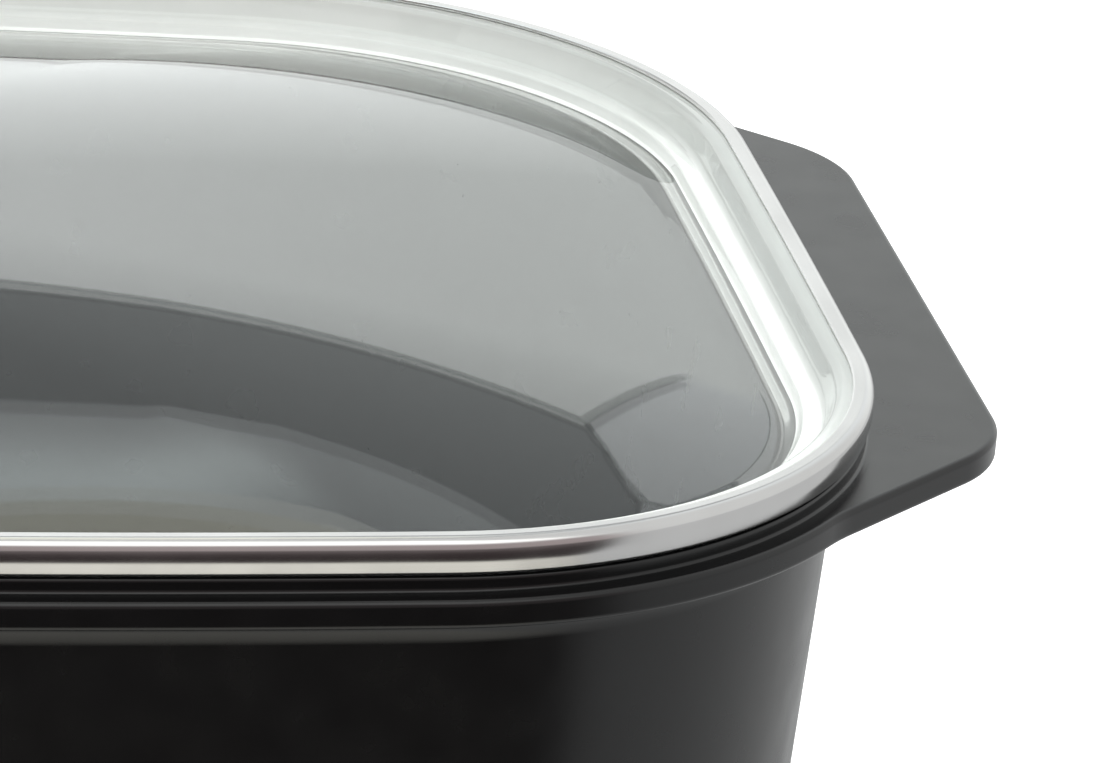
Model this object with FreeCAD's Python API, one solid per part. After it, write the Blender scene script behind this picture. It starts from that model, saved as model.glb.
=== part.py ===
import FreeCAD, Part
import math
import os

# Oblong slow cooker: a cast pot with ear handles under a steel-rimmed glass lid,
# standing in the tray of a heated base. Millimetres, +Z up, the control dial faces -Y,
# the origin is on the table under the middle of the cooker.

# Plan outline that the lid, pot and base share: a rectangle with bowed sides
LID_LENGTH = 330.0
LID_DEPTH = 241.6
CORNER_RADIUS = 73.4
LONG_SIDE_RADIUS = 1430.0
SHORT_SIDE_RADIUS = 5000.0

# Cast pot
POT_HEIGHT = 112.0
POT_WALL = 3.2
POT_FLOOR = 4.0
POT_DRAFT = 3.2
POT_WALL_INSET = 4.0
POT_BOTTOM_ROUND = 14.0
POT_FLOOR_ROUND = 11.0
FLANGE_OVERHANG = 2.5
FLANGE_THICKNESS = 4.0
FLANGE_COVE = 4.2
FLANGE_EDGE_ROUND = 0.8
REBATE_INSET = 2.2
REBATE_DEPTH = 3.4
LEDGE_ROUND = 0.8
POT_EAR_SPAN = 365.4
POT_EAR_WIDTH = 118.5
POT_EAR_CORNER = 23.5
POT_EAR_ANGLE = 27.77
POT_EAR_BLEND = 40.0

# Glass lid and its steel rim band
GLASS_THICKNESS = 3.5
GLASS_DROP = 6.5
GLASS_WALL_INSET = 6.3
GLASS_LIP_BEND = 1.7
GLASS_GUTTER_BEND = 1.5
GLASS_FOOT_BEND = 2.5
GLASS_EDGE_ROUND = 1.3
GUTTER_WIDTH = 4.7
DOME_RISE = 13.0
DOME_FLAT = 0.19
DOME_SECTIONS = 5
BAND_SHEET = 0.65
BAND_ROUND = 1.9
BAND_TOP_LIP = 4.4
BAND_BOTTOM_LIP = 2.4
BAND_SIDE_GAP = 0.1
BAND_GLASS_GAP = 0.05
LID_SEAT_GAP = 0.2

# Lid knob and its fixing
LID_KNOB_RADIUS = 23.0
LID_KNOB_WAIST = 12.5
LID_KNOB_FOOT = 15.0
LID_KNOB_HEIGHT = 27.0
LID_KNOB_CROWN = 7.0
COLLAR_RADIUS = 19.0
COLLAR_SHEET = 1.2
LID_SCREW_RADIUS = 2.5
LID_SCREW_HEAD = 5.5
LID_SCREW_HEAD_HEIGHT = 2.6
LID_SCREW_GRIP = 14.0
LID_SCREW_SLACK = 0.1
LID_HOLE_SLACK = 1.0
WASHER_RADIUS = 9.0
WASHER_THICKNESS = 1.5

# Heated base
FOOT_HEIGHT = 6.0
FOOT_RADIUS = 11.0
FOOT_STEM_RADIUS = 4.0
FOOT_HEAD_RADIUS = 5.2
FOOT_HEAD_HEIGHT = 2.2
FOOT_STEM_SLACK = 0.1
FOOT_X = 104.0
FOOT_Y = 72.0
SKIRT_DROP = 1.0
SKIRT_ROUND = 1.2
COVER_SHEET = 1.2
COVER_GAP = 0.4
VENT_COUNT = 9
VENT_PITCH = 12.0
VENT_LENGTH = 34.0
VENT_WIDTH = 3.6
VENT_ROW_Y = 34.0
HOUSING_HEIGHT = 72.2
HOUSING_WALL = 2.6
HOUSING_GAP = 2.3
HOUSING_TAPER = 10.5
BASE_EAR_SPAN = 361.0
BASE_EAR_WIDTH = 112.0
BASE_EAR_CORNER = 23.5
BASE_EAR_ANGLE = 28.54
BASE_EAR_BLEND = 22.0
BASE_EAR_THICKNESS = 8.0
BASE_EAR_DROP = 2.4
BASE_EAR_ROUND = 2.4
GASKET_THICKNESS = 0.8
GASKET_INSET = 0.5
PLATE_LIP = 3.5
PLATE_LIP_ROUND = 1.4
PLATE_WALL = 3.6
PLATE_FLOOR = 5.0
TRAY_DEPTH = 9.5
TRAY_CLEARANCE = 2.5
TRAY_ROUND = 5.0
POT_SEAT_GAP = 0.2

# Screws that tie the cover, housing and heating plate together
TIE_X = 134.0
TIE_Y = 58.0
TIE_RADIUS = 2.0
TIE_HEAD_RADIUS = 4.0
TIE_HEAD_HEIGHT = 2.4
TIE_BITE = 6.5
TIE_SLACK = 0.3
TIE_THREAD_SLACK = 0.05
TIE_BOSS_RADIUS = 5.5
TIE_POST_RADIUS = 5.0
TIE_POST_HEIGHT = 5.0
TIE_WEB = 2.4
TIE_WEB_TOP_GAP = 8.0

# Heating element, its clamps and the heat shield under it
ELEMENT_RADIUS = 3.3
ELEMENT_GAP = 0.1
ELEMENT_LEG_X = 14.0
ELEMENT_LEG_BEND = 14.0
ELEMENT_LEG_OUTSIDE = 15.0
INSULATOR_LENGTH = 5.0
PIN_RADIUS = 1.2
PIN_LENGTH = 8.0
PIN_SLACK = 0.05
CLAMP_SHEET = 1.1
CLAMP_LENGTH = 10.0
CLAMP_FOOT = 8.0
CLAMP_SLACK = 0.1
CLAMP_X = 50.0
CLAMP_EDGE_GAP = 1.5
SMALL_SCREW_RADIUS = 1.4
SMALL_SCREW_HEAD = 2.7
SMALL_SCREW_HEAD_HEIGHT = 1.8
SMALL_SCREW_BITE = 3.4
SMALL_SCREW_SLACK = 0.05
SHIELD_SHEET = 0.8
SHIELD_DEPTH = 16.0
SHIELD_INSET = 44.0
SHIELD_EDGE_GAP = 0.6
SHIELD_SLOT_GAP = 1.2
SHIELD_POST_X = 62.0
SHIELD_POST_Y = 30.0
SHIELD_POST_RADIUS = 4.0

# Control: thermostat, its shaft and dial on a flat panel let into the housing
CONTROL_RISE = 33.0
PANEL_WIDTH = 124.0
PANEL_HEIGHT = 48.0
PANEL_CORNER = 11.0
PANEL_RECESS = 5.8
DIAL_PLATE_SHEET = 0.8
DIAL_PLATE_EDGE_GAP = 0.5
THERMOSTAT_WIDTH = 34.0
THERMOSTAT_HEIGHT = 22.0
THERMOSTAT_DEPTH = 18.0
THERMOSTAT_EDGE_ROUND = 2.0
BUSHING_RADIUS = 5.0
BUSHING_SLACK = 0.2
NUT_WIDTH = 14.0
NUT_HEIGHT = 2.4
SHAFT_RADIUS = 3.0
SHAFT_SLACK = 0.06
SHAFT_INSIDE = 8.0
SHAFT_FLAT = 2.2
DIAL_RADIUS = 17.5
DIAL_SKIRT = 2.6
DIAL_DEPTH = 14.0
DIAL_GRIP_WIDTH = 11.0
DIAL_GRIP_LENGTH = 31.0
DIAL_GRIP_ROUND = 2.2
DIAL_RUNNING_GAP = 0.5
DIAL_WELL_RADIUS = 9.5
DIAL_CAP = 3.0
DIAL_BORE_SLACK = 0.05
POINTER_WIDTH = 1.6
POINTER_LENGTH = 11.0
POINTER_DEPTH = 0.6
POINTER_SLACK = 0.05
STRAP_WIDTH = 9.0
STRAP_SHEET = 0.9
STRAP_FOOT = 10.0
STRAP_TOE = 8.0

# Thermal fuse, terminals, wiring and the cord inlet
FUSE_RADIUS = 2.2
FUSE_LENGTH = 15.0
FUSE_X = -30.0
FUSE_Y = 6.0
FUSE_CLIP_LENGTH = 6.0
FUSE_CLIP_WALL = 1.2
FUSE_CLIP_SLACK = 0.05
BLOCK_LENGTH = 30.0
BLOCK_DEPTH = 14.0
BLOCK_HEIGHT = 15.0
BLOCK_ROUND = 2.0
GLAND_X = 70.0
GLAND_RISE = 21.0
GLAND_BORE = 3.7
GLAND_WALL = 2.5
GLAND_SLACK = 0.2
GLAND_FLANGE_RADIUS = 9.0
GLAND_FLANGE = 2.5
GLAND_SEAT_RADIUS = 11.0
GLAND_SEAT_PROUD = 2.0
GLAND_SEAT_INSIDE = 0.8
GLAND_NUT_HEIGHT = 4.0
GLAND_NUT_WIDTH = 18.0
WIRE_RADIUS = 1.4
WIRE_RUN = 24.0
WIRE_END_GAP = 0.05

Vec = FreeCAD.Vector
ORIGIN = Vec(0, 0, 0)
UP = Vec(0, 0, 1)
FRONT = Vec(0, -1, 0)
BACK = Vec(0, 1, 0)
FOUR_CORNERS = ((1, 1), (-1, 1), (-1, -1), (1, -1))

# Heights, worked out from the table up
z_cover = FOOT_HEIGHT
z_cover_top = z_cover + COVER_SHEET
z_skirt = z_cover - SKIRT_DROP
z_housing_top = z_skirt + HOUSING_HEIGHT
z_lip = z_housing_top + GASKET_THICKNESS
z_rim = z_lip + PLATE_LIP
z_tray = z_rim - TRAY_DEPTH
z_plate = z_tray - PLATE_FLOOR
z_post = z_plate - TIE_POST_HEIGHT
z_pot = z_tray + POT_SEAT_GAP
z_flange = z_pot + POT_HEIGHT
z_under_flange = z_flange - FLANGE_THICKNESS
z_ledge = z_flange - REBATE_DEPTH
z_glass_foot = z_ledge + LID_SEAT_GAP
z_gutter = z_glass_foot + GLASS_THICKNESS
z_glass_top = z_gutter + GLASS_DROP
z_glass_low = z_glass_top - GLASS_THICKNESS
z_band_top = z_glass_top + BAND_GLASS_GAP + BAND_SHEET
z_band_low = z_glass_low - BAND_GLASS_GAP - BAND_SHEET
z_dome = z_gutter + DOME_RISE
z_control = z_skirt + CONTROL_RISE
z_element = z_plate - ELEMENT_GAP - ELEMENT_RADIUS
z_shield = z_plate - SHIELD_DEPTH
z_gland = z_skirt + GLAND_RISE

# Half sizes and the centres of the three arcs of one quarter of the plan outline
half_length = LID_LENGTH / 2
half_depth = LID_DEPTH / 2
long_centre = Vec(0, half_depth - LONG_SIDE_RADIUS, 0)
short_centre = Vec(half_length - SHORT_SIDE_RADIUS, 0, 0)


def corner_centre():
    """Centre of the corner arc that is tangent inside both bowed sides."""
    reach_long = LONG_SIDE_RADIUS - CORNER_RADIUS
    reach_short = SHORT_SIDE_RADIUS - CORNER_RADIUS
    span = short_centre - long_centre
    along = (reach_long ** 2 - reach_short ** 2 + span.Length ** 2) / (2 * span.Length)
    across = math.sqrt(reach_long ** 2 - along ** 2)
    direction = Vec(span).normalize()
    normal = Vec(-direction.y, direction.x, 0)
    ends = [long_centre + direction * along + normal * (side * across) for side in (1, -1)]
    return max(ends, key=lambda point: point.x + point.y)


corner = corner_centre()
long_tangent = Vec(corner - long_centre).normalize()
short_tangent = Vec(corner - short_centre).normalize()


def arc_middle(centre, start, end):
    """Point halfway along the short arc from start to end."""
    bisector = (start - centre) + (end - centre)
    return centre + bisector.normalize() * (start - centre).Length


def quarter_outline(offset, scale=1.0):
    """The three arcs of the first quarter, from the +X axis to the +Y axis."""
    right = Vec(half_length + offset, 0, 0)
    side_end = short_centre + short_tangent * (SHORT_SIDE_RADIUS + offset)
    corner_end = long_centre + long_tangent * (LONG_SIDE_RADIUS + offset)
    back = Vec(0, half_depth + offset, 0)
    arcs = [
        (right, arc_middle(short_centre, right, side_end), side_end),
        (side_end, arc_middle(corner, side_end, corner_end), corner_end),
        (corner_end, arc_middle(long_centre, corner_end, back), back),
    ]
    return [tuple(point * scale for point in arc) for arc in arcs]


def quarter_with_ear(offset, span, width, radius, angle, blend):
    """A quarter outline whose end runs out into half of an ear handle."""
    tip = Vec(span / 2, width / 2, 0)
    # The hollow beside the ear starts the given angle round the corner arc from the tip
    root = math.atan2(tip.y - corner.y, tip.x - corner.x) + math.radians(angle)
    outward = Vec(math.cos(root), math.sin(root), 0)
    blend_end = corner + outward * (CORNER_RADIUS + offset)
    blend_centre = blend_end + outward * blend
    # The ear's straight side is the tangent from the tip to that hollow
    reach = blend_centre - tip
    turn = math.atan2(reach.y, reach.x) + math.asin(blend / reach.Length)
    along = Vec(math.cos(turn), math.sin(turn), 0)
    side_end = tip + along * reach.dot(along)
    cut_back = radius * math.tan((turn - math.pi / 2) / 2)
    low = tip - Vec(0, cut_back, 0)
    high = tip + along * cut_back
    round_centre = low - Vec(radius, 0, 0)
    plain = quarter_outline(offset)
    corner_end = plain[2][0]
    return [
        (Vec(span / 2, 0, 0), low),
        (low, arc_middle(round_centre, low, high), high),
        (high, side_end),
        (side_end, arc_middle(blend_centre, side_end, blend_end), blend_end),
        (blend_end, arc_middle(corner, blend_end, corner_end), corner_end),
        plain[2],
    ]


def edge_through(points):
    """A straight edge through two points or an arc through three."""
    if len(points) == 2:
        return Part.LineSegment(*points).toShape()
    return Part.Arc(*points).toShape()


def mirrored_wire(quarter, z):
    """Closed wire at height z from one quarter, mirrored into all four."""
    edges = []
    for sx, sy in FOUR_CORNERS:
        turned_over = sx * sy < 0
        pieces = reversed(quarter) if turned_over else quarter
        for piece in pieces:
            points = [Vec(sx * p.x, sy * p.y, z) for p in piece]
            if turned_over:
                points.reverse()
            edges.append(edge_through(points))
    return Part.Wire(edges)


def outline(offset, z, scale=1.0):
    """The shared plan outline, moved out by offset, at height z."""
    return mirrored_wire(quarter_outline(offset, scale), z)


def plan_offset(point):
    """How far a point lies outside the shared plan outline."""
    place = Vec(abs(point.x), abs(point.y), 0)
    ray = place - corner
    if ray.cross(long_tangent).z < 0:
        return (place - long_centre).Length - LONG_SIDE_RADIUS
    if short_tangent.cross(ray).z < 0:
        return (place - short_centre).Length - SHORT_SIDE_RADIUS
    return ray.Length - CORNER_RADIUS


def prism(wire, height):
    """Solid standing on a flat closed wire."""
    return Part.Face(wire).extrude(Vec(0, 0, height))


def taper(offset_low, z_low, offset_high, z_high):
    """Solid between two offset outlines, with straight drafted sides."""
    return Part.makeLoft([outline(offset_low, z_low), outline(offset_high, z_high)], True, True)


def rounded_wire(corners, place):
    """Closed wire through (u, v, radius) corners, each rounded by its radius."""
    count = len(corners)
    starts, middles, ends = [], [], []
    for i in range(count):
        u, v, radius = corners[i]
        here = Vec(u, v, 0)
        before = Vec(corners[i - 1][0], corners[i - 1][1], 0) - here
        after = Vec(corners[(i + 1) % count][0], corners[(i + 1) % count][1], 0) - here
        before.normalize()
        after.normalize()
        half = before.getAngle(after) / 2
        back = radius / math.tan(half)
        starts.append(here + before * back)
        ends.append(here + after * back)
        bisector = (before + after).normalize()
        middles.append(here + bisector * (radius / math.sin(half) - radius))
    edges = []
    for i in range(count):
        if corners[i][2] > 0:
            points = (starts[i], middles[i], ends[i])
            edges.append(Part.Arc(*[place(p.x, p.y) for p in points]).toShape())
        nearest = starts[(i + 1) % count]
        if (nearest - ends[i]).Length > 1e-6:
            edges.append(Part.LineSegment(place(ends[i].x, ends[i].y), place(nearest.x, nearest.y)).toShape())
    return Part.Wire(edges)


def swept_ring(corners):
    """A section of (offset, z, radius) corners swept round the shared outline."""
    section = rounded_wire(corners, lambda offset, z: Vec(half_length + offset, 0, z))
    return outline(0, z_flange).makePipeShell([section], True, False)


def turned(corners, base=ORIGIN, direction=UP):
    """Solid of revolution from (radius, height, rounding) corners along direction."""
    section = rounded_wire(corners, lambda r, z: Vec(r, 0, z))
    solid = Part.Face(section).revolve(ORIGIN, UP, 360)
    solid.Placement = FreeCAD.Placement(base, FreeCAD.Rotation(UP, direction))
    return solid


def rod(radius, base, direction, length):
    """Plain cylinder."""
    return Part.makeCylinder(radius, length, base, direction)


def block(x0, x1, y0, y1, z0, z1):
    """Plain box between two corners."""
    return Part.makeBox(x1 - x0, y1 - y0, z1 - z0, Vec(x0, y0, z0))


def panel_prism(width, height, radius, z_middle, y_near, y_far):
    """Rounded rectangle that faces the front, from y_near forward to y_far."""
    w, h = width / 2, height / 2
    corners = [(-w, -h, radius), (w, -h, radius), (w, h, radius), (-w, h, radius)]
    wire = rounded_wire(corners, lambda x, z: Vec(x, y_near, z_middle + z))
    return Part.Face(wire).extrude(Vec(0, y_far - y_near, 0))


def hex_nut(width, base, direction, height, bore):
    """Hexagon nut with its seat at base."""
    reach = width / math.sqrt(3)
    points = [Vec(reach * math.cos(k * math.pi / 3), reach * math.sin(k * math.pi / 3), 0) for k in range(7)]
    nut = prism(Part.makePolygon(points), height).cut(rod(bore, Vec(0, 0, -1), UP, height + 2))
    nut.Placement = FreeCAD.Placement(base, FreeCAD.Rotation(UP, direction))
    return nut


def screw(radius, head, head_height, seat, direction, length):
    """Pan head screw: the head's underside is at seat, the shank runs along direction."""
    corners = [
        (0, -head_height, 0),
        (head, -head_height, head_height * 0.4),
        (head, 0, 0),
        (radius, 0, 0),
        (radius, length, radius * 0.3),
        (0, length, 0),
    ]
    return turned(corners, seat, direction)


def level_edges(shape, z, inner=-1e9, outer=1e9):
    """Edges that lie at height z, with their middle between two plan offsets."""
    found = []
    for edge in shape.Edges:
        box = edge.BoundBox
        middle = edge.valueAt((edge.FirstParameter + edge.LastParameter) / 2)
        if abs(box.ZMin - z) < 1e-4 and abs(box.ZMax - z) < 1e-4 and inner < plan_offset(middle) < outer:
            found.append(edge)
    return found


def route(points):
    """Path of straight runs joined by the largest tangent arcs that the runs allow."""
    edges = []
    here = points[0]
    for before, at, after in zip(points, points[1:], points[2:]):
        back = before - at
        ahead = after - at
        run = 0.45 * min(back.Length, ahead.Length)
        back.normalize()
        ahead.normalize()
        half = back.getAngle(ahead) / 2
        radius = run * math.tan(half)
        start = at + back * run
        end = at + ahead * run
        middle = at + (back + ahead).normalize() * (radius / math.sin(half) - radius)
        edges.append(Part.LineSegment(here, start).toShape())
        edges.append(Part.Arc(start, middle, end).toShape())
        here = end
    edges.append(Part.LineSegment(here, points[-1]).toShape())
    return Part.Wire(edges)


def tube(radius, path, direction):
    """Round rod along a path that sets out along direction."""
    start = path.Edges[0].firstVertex().Point
    ring = Part.Wire(Part.Circle(start, direction, radius).toShape())
    return path.makePipeShell([ring], True, False)


# Offsets of the pot wall, tray and housing from the shared outline
draft = math.tan(math.radians(POT_DRAFT))


def pot_offset(z):
    """Plan offset of the pot's outer wall at height z."""
    return -POT_WALL_INSET - (z_under_flange - z) * draft


tray_offset = pot_offset(z_rim) + TRAY_CLEARANCE
plate_offset = tray_offset + PLATE_WALL
housing_top_offset = plate_offset + HOUSING_GAP + HOUSING_WALL


def housing_offset(z):
    """Plan offset of the housing's outer wall at height z."""
    return housing_top_offset - HOUSING_TAPER * (z_housing_top - z) / HOUSING_HEIGHT


def back_y(x, offset):
    """Distance back to the bowed long side of an offset outline at x."""
    return long_centre.y + math.sqrt((LONG_SIDE_RADIUS + offset) ** 2 - x ** 2)


cover_offset = housing_offset(z_cover) - HOUSING_WALL - COVER_GAP
y_panel = -(half_depth + housing_offset(z_control)) + PANEL_RECESS
y_dial_plate = y_panel - DIAL_PLATE_SHEET
y_dial_back = y_dial_plate - DIAL_RUNNING_GAP
y_dial_front = y_dial_back - DIAL_DEPTH
y_thermostat = y_panel + HOUSING_WALL
y_gland_seat = back_y(GLAND_X, housing_offset(z_gland)) + GLAND_SEAT_PROUD
z_gland_low = z_gland - GLAND_SEAT_RADIUS
x_gland_far = abs(GLAND_X) + GLAND_SEAT_RADIUS
y_gland_inside = back_y(x_gland_far, housing_offset(z_gland_low) - HOUSING_WALL) - GLAND_SEAT_INSIDE
gland_seat_depth = y_gland_seat - y_gland_inside
gutter_offset = -GLASS_WALL_INSET - GUTTER_WIDTH
tie_places = [Vec(sx * TIE_X, sy * TIE_Y, 0) for sx, sy in FOUR_CORNERS]
foot_places = [Vec(sx * FOOT_X, sy * FOOT_Y, 0) for sx, sy in FOUR_CORNERS]
shield_places = [Vec(sx * SHIELD_POST_X, sy * SHIELD_POST_Y, 0) for sx, sy in FOUR_CORNERS]
clamp_reach = ELEMENT_RADIUS + CLAMP_SLACK + CLAMP_SHEET + CLAMP_FOOT
element_inset = SHIELD_INSET + SHIELD_SHEET + CLAMP_EDGE_GAP + clamp_reach
y_element = half_depth - element_inset
y_leg_end = half_depth - SHIELD_INSET + ELEMENT_LEG_OUTSIDE
clamp_places = [Vec(sx * CLAMP_X, -y_element, z_element) for sx in (1, -1)]
clamp_places += [Vec(sx * (CLAMP_X + ELEMENT_LEG_X), y_element, z_element) for sx in (1, -1)]


def cooking_pot():
    """Drafted pot with a thin flange, a rebate for the lid and an ear at each end."""
    wall = taper(pot_offset(z_pot), z_pot, pot_offset(z_ledge), z_ledge)
    wall = wall.makeFillet(POT_BOTTOM_ROUND, level_edges(wall, z_pot))
    ears = quarter_with_ear(
        FLANGE_OVERHANG, POT_EAR_SPAN, POT_EAR_WIDTH, POT_EAR_CORNER, POT_EAR_ANGLE, POT_EAR_BLEND
    )
    flange = prism(mirrored_wire(ears, z_under_flange), FLANGE_THICKNESS)
    rims = level_edges(flange, z_flange) + level_edges(flange, z_under_flange)
    flange = flange.makeFillet(FLANGE_EDGE_ROUND, rims)
    pot = flange.fuse(wall).removeSplitter()
    inset = -POT_WALL_INSET
    pot = pot.makeFillet(FLANGE_COVE, level_edges(pot, z_under_flange, inset - 0.5, inset + 0.5))
    z_floor = z_pot + POT_FLOOR
    z_over = z_flange + POT_FLOOR
    cavity = taper(pot_offset(z_floor) - POT_WALL, z_floor, pot_offset(z_over) - POT_WALL, z_over)
    cavity = cavity.makeFillet(POT_FLOOR_ROUND, level_edges(cavity, z_floor))
    pot = pot.cut(prism(outline(-REBATE_INSET, z_ledge), REBATE_DEPTH + 1)).cut(cavity)
    ledge_edge = level_edges(pot, z_ledge, pot_offset(z_ledge) - POT_WALL - 0.5, pot_offset(z_ledge) - POT_WALL + 0.5)
    return pot.makeFillet(LEDGE_ROUND, ledge_edge)


def dome(offset, z_low):
    """Pillow-shaped solid: the outline drawn in towards a small flat at the top."""
    wires = []
    for i in range(DOME_SECTIONS + 1):
        scale = 1 - (1 - DOME_FLAT) * i / DOME_SECTIONS
        rise = DOME_RISE * (1 - scale ** 2) / (1 - DOME_FLAT ** 2)
        wires.append(outline(offset, z_low + rise, scale))
    return Part.makeLoft(wires, True, False)


def lid_glass():
    """Pressed glass: rolled edge, upright wall, gutter and a low dome."""
    edge = -BAND_SHEET - BAND_SIDE_GAP
    outside = GLASS_THICKNESS - GLASS_WALL_INSET
    rim = swept_ring([
        (edge, z_glass_low, GLASS_EDGE_ROUND),
        (edge, z_glass_top, GLASS_EDGE_ROUND),
        (-GLASS_WALL_INSET, z_glass_top, GLASS_LIP_BEND),
        (-GLASS_WALL_INSET, z_gutter, GLASS_GUTTER_BEND),
        (gutter_offset, z_gutter, 0),
        (gutter_offset, z_glass_foot, 0),
        (outside, z_glass_foot, GLASS_FOOT_BEND),
        (outside, z_glass_low, 0),
    ])
    overlap = GLASS_DROP * 0.05
    skin = dome(gutter_offset + overlap, z_gutter)
    skin = skin.fuse(prism(outline(gutter_offset + overlap, z_glass_foot), GLASS_THICKNESS))
    skin = skin.cut(dome(gutter_offset - overlap, z_glass_foot))
    glass = rim.fuse(skin).removeSplitter()
    return glass.cut(rod(LID_SCREW_RADIUS + LID_HOLE_SLACK, Vec(0, 0, z_glass_foot), UP, DOME_RISE * 3))


def lid_rim_band():
    """Rolled steel channel that holds the edge of the glass."""
    inner = BAND_ROUND - BAND_SHEET
    return swept_ring([
        (0, z_band_low, BAND_ROUND),
        (0, z_band_top, BAND_ROUND),
        (-BAND_TOP_LIP, z_band_top, BAND_SHEET * 0.35),
        (-BAND_TOP_LIP, z_band_top - BAND_SHEET, BAND_SHEET * 0.35),
        (-BAND_SHEET, z_band_top - BAND_SHEET, inner),
        (-BAND_SHEET, z_band_low + BAND_SHEET, inner),
        (-BAND_BOTTOM_LIP, z_band_low + BAND_SHEET, BAND_SHEET * 0.35),
        (-BAND_BOTTOM_LIP, z_band_low, BAND_SHEET * 0.35),
    ])


def lid_knob():
    """Mushroom knob with a finger waist and a blind hole for its screw."""
    shoulder = LID_KNOB_HEIGHT - LID_KNOB_CROWN
    knob = turned([
        (0, 0, 0),
        (LID_KNOB_FOOT, 0, 0.8),
        (LID_KNOB_WAIST, shoulder * 0.45, 9.0),
        (LID_KNOB_RADIUS, shoulder, 3.0),
        (LID_KNOB_RADIUS, shoulder + LID_KNOB_CROWN * 0.35, 2.0),
        (LID_KNOB_RADIUS * 0.6, LID_KNOB_HEIGHT, 12.0),
        (0, LID_KNOB_HEIGHT, 0),
    ], Vec(0, 0, z_dome + COLLAR_SHEET))
    bite = LID_SCREW_GRIP - COLLAR_SHEET + 1
    return knob.cut(rod(LID_SCREW_RADIUS + LID_SCREW_SLACK, Vec(0, 0, z_dome), UP, bite + COLLAR_SHEET))


def knob_collar():
    """Steel collar that keeps the knob off the hot glass."""
    hole = LID_SCREW_RADIUS + LID_HOLE_SLACK
    return turned([
        (hole, 0, 0),
        (COLLAR_RADIUS, 0, 0),
        (COLLAR_RADIUS, COLLAR_SHEET, COLLAR_SHEET * 0.5),
        (hole, COLLAR_SHEET, 0),
    ], Vec(0, 0, z_dome))


def knob_washer():
    """Soft washer under the glass."""
    top = z_dome - GLASS_THICKNESS
    ring = rod(WASHER_RADIUS, Vec(0, 0, top), -UP, WASHER_THICKNESS)
    return ring.cut(rod(LID_SCREW_RADIUS + LID_SCREW_SLACK, Vec(0, 0, top + 1), -UP, WASHER_THICKNESS + 2))


def knob_screw():
    """Screw that holds the knob, from inside the lid."""
    seat = Vec(0, 0, z_dome - GLASS_THICKNESS - WASHER_THICKNESS)
    reach = WASHER_THICKNESS + GLASS_THICKNESS + LID_SCREW_GRIP
    return screw(LID_SCREW_RADIUS, LID_SCREW_HEAD, LID_SCREW_HEAD_HEIGHT, seat, UP, reach)


def base_housing():
    """Tapered moulded housing with ear grips, a flat control panel and screw bosses."""
    bottom_offset = housing_offset(z_skirt)
    shell = taper(bottom_offset, z_skirt, housing_top_offset, z_housing_top)
    shell = shell.makeFillet(SKIRT_ROUND, level_edges(shell, z_skirt))
    z_ear = z_housing_top - BASE_EAR_DROP - BASE_EAR_THICKNESS
    ears = quarter_with_ear(
        housing_offset(z_ear) - HOUSING_WALL / 2,
        BASE_EAR_SPAN, BASE_EAR_WIDTH, BASE_EAR_CORNER, BASE_EAR_ANGLE, BASE_EAR_BLEND,
    )
    grips = prism(mirrored_wire(ears, z_ear), BASE_EAR_THICKNESS)
    rims = level_edges(grips, z_ear) + level_edges(grips, z_ear + BASE_EAR_THICKNESS)
    grips = grips.makeFillet(BASE_EAR_ROUND, rims)
    y_front = -half_depth - PANEL_WIDTH
    shell = shell.cut(panel_prism(PANEL_WIDTH, PANEL_HEIGHT, PANEL_CORNER, z_control, y_panel, y_front))
    seat = rod(GLAND_SEAT_RADIUS, Vec(GLAND_X, y_gland_inside, z_gland), BACK, gland_seat_depth)
    shell = shell.fuse(grips)
    wall = HOUSING_WALL
    z_over, z_below = z_housing_top + wall, z_skirt - wall
    room = taper(housing_offset(z_below) - wall, z_below, housing_offset(z_over) - wall, z_over)
    room = room.cut(panel_prism(
        PANEL_WIDTH + 2 * wall, PANEL_HEIGHT + 2 * wall, PANEL_CORNER + wall, z_control, y_thermostat, y_front
    ))
    housing = shell.cut(room).fuse(seat)
    inside = taper(bottom_offset - wall / 2, z_skirt, housing_top_offset - wall / 2, z_housing_top)
    for place in tie_places:
        side = math.copysign(1, place.x)
        boss = rod(TIE_BOSS_RADIUS, Vec(place.x, place.y, z_cover_top), UP, z_post - z_cover_top)
        web_ends = sorted((place.x, side * (half_length + housing_top_offset)))
        web = block(
            web_ends[0], web_ends[1], place.y - TIE_WEB / 2, place.y + TIE_WEB / 2,
            z_cover_top, z_post - TIE_WEB_TOP_GAP,
        )
        housing = housing.fuse(boss.fuse(web.common(inside)))
    for place in tie_places:
        housing = housing.cut(rod(TIE_RADIUS + TIE_SLACK, Vec(place.x, place.y, z_skirt), UP, HOUSING_HEIGHT))
    housing = housing.cut(rod(BUSHING_RADIUS + BUSHING_SLACK, Vec(0, y_panel - 1, z_control), BACK, wall + 2))
    gland_hole = GLAND_BORE + GLAND_WALL + GLAND_SLACK
    return housing.cut(rod(gland_hole, Vec(GLAND_X, y_gland_inside - 1, z_gland), BACK, gland_seat_depth + 2))


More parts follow.
